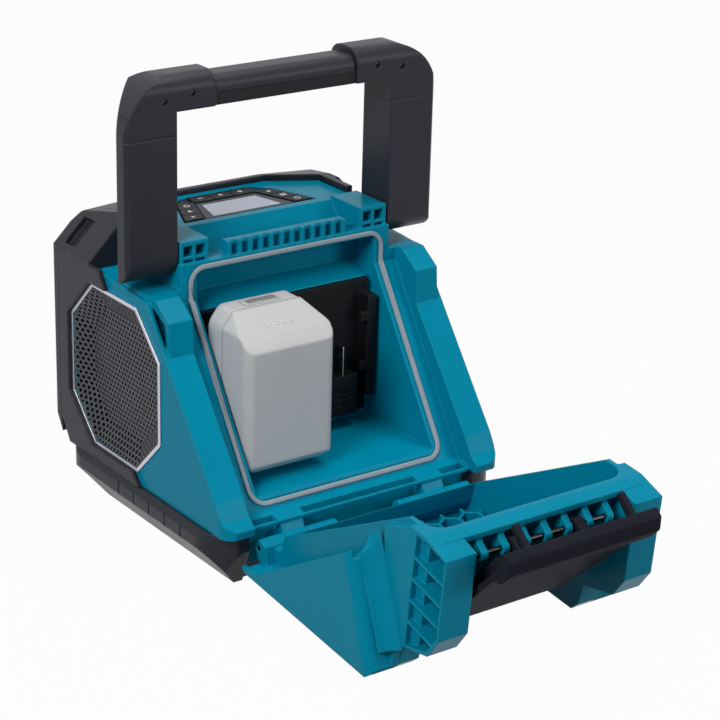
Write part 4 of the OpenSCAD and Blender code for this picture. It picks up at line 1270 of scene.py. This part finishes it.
@dataclass
class BatteryPack:
    """The slide-on pack with its charge gauge and ribbed release."""

    corner_round: float = 0.0038
    seam: float = -0.0333
    cover_depth: float = 0.018
    slope_top: Tuple[float, float] = (-0.0333, 0.180)
    slope_low: Tuple[float, float] = (-0.0593, 0.167)
    lens_count: int = 4
    lens_sides: int = 20
    lens_radius: float = 0.0014
    lens_step: float = 0.0068
    lens_rise: float = 0.0005
    lens_inset_share: float = 0.45
    lens_crown_share: float = 0.5
    lens_place_share: float = 0.30
    lens_angle: float = 40.0
    rib_count: int = 4
    rib_rise: float = 0.0006
    rib_shares: Tuple[float, float] = (0.84, 0.12)
    rib_top_shares: Tuple[float, float] = (0.97, 0.45)
    rib_margin_share: float = 0.1
    rib_angle: float = 30.0

    def dress(self) -> None:
        """Gives the pack's CAD nodes their finish."""
        dress(("battery_case", "battery_cover", "battery_button"), PACK_SHELL)

    def round_edges(self) -> None:
        """Rounds the shells' outer edges, and leaves the seam between them sharp."""
        tests: Dict[str, EdgeTest] = {
            "battery_case": lambda start, end: min(start.y, end.y) < self.seam - NEAR,
            "battery_cover": lambda start, end: abs(start.y - end.y) > self.cover_depth - NEAR,
        }
        for node, chosen in tests.items():
            made = Bench.soften(node, node + "_rounded", self.corner_round, chosen)
            Bench.hand_over(made, PACK_SHELL, "battery_shell", "battery")

    def gauge(self) -> None:
        """Builds the row of lenses along the lower edge of the sloping top."""
        low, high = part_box("battery_case")
        top, foot = Vector((0.0, *self.slope_top)), Vector((0.0, *self.slope_low))
        spot = foot.lerp(top, self.lens_place_share)
        lens = self._lens()
        lens.rotation_euler = (math.atan2(top.z - foot.z, top.y - foot.y), 0.0, 0.0)
        places = []
        for number in range(self.lens_count):
            step = number - (self.lens_count - 1) / 2
            places.append(((low.x + high.x) / 2 + step * self.lens_step, spot.y, spot.z))
        made = Bench.repeat(lens, places, "battery_gauge")
        Bench.settle(made, self.lens_angle)
        Bench.hand_over(made, LENS_CLEAR, "battery_shell", "battery")

    def _lens(self) -> Piece:
        """One low round lens about the origin.

        Returns:
            The lens.
        """
        Bench.clear()
        bpy.ops.mesh.primitive_cylinder_add(vertices=self.lens_sides, radius=self.lens_radius,
                                            depth=2 * self.lens_rise)
        lens = Bench.named("gauge_lens")
        Bench.choose(lens, Pick.FACE, lambda face: face.normal.z > ALONG)
        bpy.ops.mesh.inset(thickness=self.lens_radius * self.lens_inset_share)
        bpy.ops.transform.translate(value=(0.0, 0.0, self.lens_rise * self.lens_crown_share))
        Bench.done()
        return lens

    def release_ribs(self) -> None:
        """Builds the finger ribs across the release's top."""
        low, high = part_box("battery_button")
        depth = high.y - low.y
        places = []
        for number in range(self.rib_count):
            share = (number + 0.5) / self.rib_count
            inward = self.rib_margin_share + (1 - 2 * self.rib_margin_share) * share
            places.append(((low.x + high.x) / 2, low.y + depth * inward, high.z))
        made = Bench.repeat(self._rib(high.x - low.x, depth), places, "release_ribs")
        Bench.settle(made, self.rib_angle)
        Bench.hand_over(made, PACK_SHELL, "battery_shell", "battery_release")

    def _rib(self, length: float, depth: float) -> Piece:
        """One rib about the origin, narrower at its top.

        Args:
            length: The release's length.
            depth: The release's depth.

        Returns:
            The rib.
        """
        Bench.clear()
        bpy.ops.mesh.primitive_plane_add(size=1.0)
        rib = Bench.named("release_rib")
        Bench.edit_all(Pick.FACE)
        bpy.ops.transform.resize(value=(length * self.rib_shares[0], depth * self.rib_shares[1], 1.0))
        Bench.raise_faces((0.0, 0.0, self.rib_rise))
        bpy.ops.transform.resize(value=(*self.rib_top_shares, 1.0))
        Bench.outward()
        Bench.done()
        return rib


@dataclass
class BatteryDoor:
    """The hinged door with its latch lever and rods."""

    lever_round: float = 0.0016
    lever_end: float = 0.0649

    def dress(self) -> None:
        """Gives the door's CAD nodes their finishes."""
        dress(("door_tray", "door_honeycomb"), TEAL_SHELL)
        dress(("latch_lever",), LEVER_SHELL)
        dress(("hinge_rod", "latch_rod"), STEEL_HARDWARE)

    def round_lever(self) -> None:
        """Rounds the edges of the lever's bar."""
        made = Bench.soften("latch_lever", "latch_lever_rounded", self.lever_round, self._on_bar)
        Bench.hand_over(made, LEVER_SHELL, "black_shell", "lever")

    def _on_bar(self, start: Vector, end: Vector) -> bool:
        """Whether an edge runs along the lever's bar or round one of its ends."""
        return min(abs(start.x), abs(end.x)) > self.lever_end


@dataclass(frozen=True)
class Lamp:
    """A soft round lamp."""

    name: str
    place: Point
    size: float
    watts: float

    def hang(self, aim: Point) -> None:
        """Hangs the lamp in its place.

        Args:
            aim: The point that it faces.
        """
        data = bpy.data.lights.new(self.name, "AREA")
        data.shape, data.size, data.energy = "DISK", self.size, self.watts
        lamp = bpy.data.objects.new(self.name, data)
        bpy.context.collection.objects.link(lamp)
        lamp.location = self.place
        toward = Vector(aim) - Vector(self.place)
        lamp.rotation_euler = toward.to_track_quat("-Z", "Y").to_euler()


@dataclass
class Studio:
    """Floor, soft lamps, white surround and the camera at the photograph's angle."""

    azimuth: float = -36.3
    elevation: float = 21.4
    roll: float = 1.55
    lens_mm: float = 113.735
    sensor_mm: float = 36.0
    clip: Tuple[float, float] = (0.05, 60.0)
    stand: Point = (-0.90454, -1.32846, 0.74783)
    floor_span: float = 16.0
    floor_drop: float = 0.0006
    floor_cuts: int = 3
    ambient: float = 0.14
    aim: Point = (0.0, -0.04, 0.15)
    lamps: Tuple[Lamp, ...] = (Lamp("key_lamp", (-1.60, -0.80, 1.50), size=0.9, watts=29.0),
                               Lamp("top_lamp", (0.30, 0.00, 1.80), size=0.8, watts=12.0),
                               Lamp("front_lamp", (1.00, -1.60, 0.75), size=0.7, watts=8.0))

    def camera(self) -> None:
        """Sets up the camera."""
        azimuth, elevation, roll = (math.radians(a) for a in (self.azimuth, self.elevation, self.roll))
        back = Vector((math.sin(azimuth) * math.cos(elevation),
                       -math.cos(azimuth) * math.cos(elevation), math.sin(elevation)))
        level = Vector((math.cos(azimuth), math.sin(azimuth), 0.0))
        upright = back.cross(level)
        right = math.cos(roll) * level + math.sin(roll) * upright
        up = math.cos(roll) * upright - math.sin(roll) * level
        data = bpy.data.cameras.new("camera")
        data.lens, data.sensor_width = self.lens_mm, self.sensor_mm
        data.clip_start, data.clip_end = self.clip
        made = bpy.data.objects.new("camera", data)
        bpy.context.collection.objects.link(made)
        turn = Matrix((right, up, back)).transposed().to_4x4()
        made.matrix_world = Matrix.Translation(self.stand) @ turn
        bpy.context.scene.camera = made

    def floor(self) -> None:
        """Lays the white floor just under the speaker."""
        Bench.clear()
        bpy.ops.mesh.primitive_plane_add(size=self.floor_span, location=(0, 0, -self.floor_drop))
        made = Bench.named("studio_floor")
        Bench.edit_all(Pick.FACE)
        bpy.ops.mesh.subdivide(number_cuts=self.floor_cuts)
        Bench.done()
        Bench.settle(made)
        made.data.materials.append(STUDIO_PAPER.material())

    def surround(self) -> None:
        """Fills the world with soft white."""
        world = bpy.data.worlds.new("studio")
        bpy.context.scene.world = world
        world.use_nodes = True
        graph = Graph(world.node_tree)
        strength = self.ambient + seen_directly(graph) * (1.0 - self.ambient)
        shader = graph.add("ShaderNodeBackground", None,
                           {"Color": Tone.WHITE.value, "Strength": strength})
        graph.close(shader, "ShaderNodeOutputWorld")

    def build(self) -> None:
        """Sets up the whole studio."""
        self.camera()
        self.floor()
        self.surround()
        for lamp in self.lamps:
            lamp.hang(self.aim)
        bpy.context.scene.view_settings.view_transform = "Standard"


def main() -> None:
    """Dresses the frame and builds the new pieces."""
    logging.basicConfig(level=logging.INFO, format="%(name)s: %(message)s")
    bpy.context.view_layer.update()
    Studio().build()
    cabinet, deck, handle, pack, door = Cabinet(), ControlDeck(), CarryHandle(), BatteryPack(), BatteryDoor()
    for assembly in (cabinet, deck, handle, pack, door):
        assembly.dress()
    cabinet.grilles()
    cabinet.seal()
    deck.print_marks()
    handle.round_edges()
    handle.screw_heads()
    door.round_lever()
    pack.round_edges()
    pack.gauge()
    pack.release_ribs()
    Bench.clear()


if __name__ == "__main__":
    main()
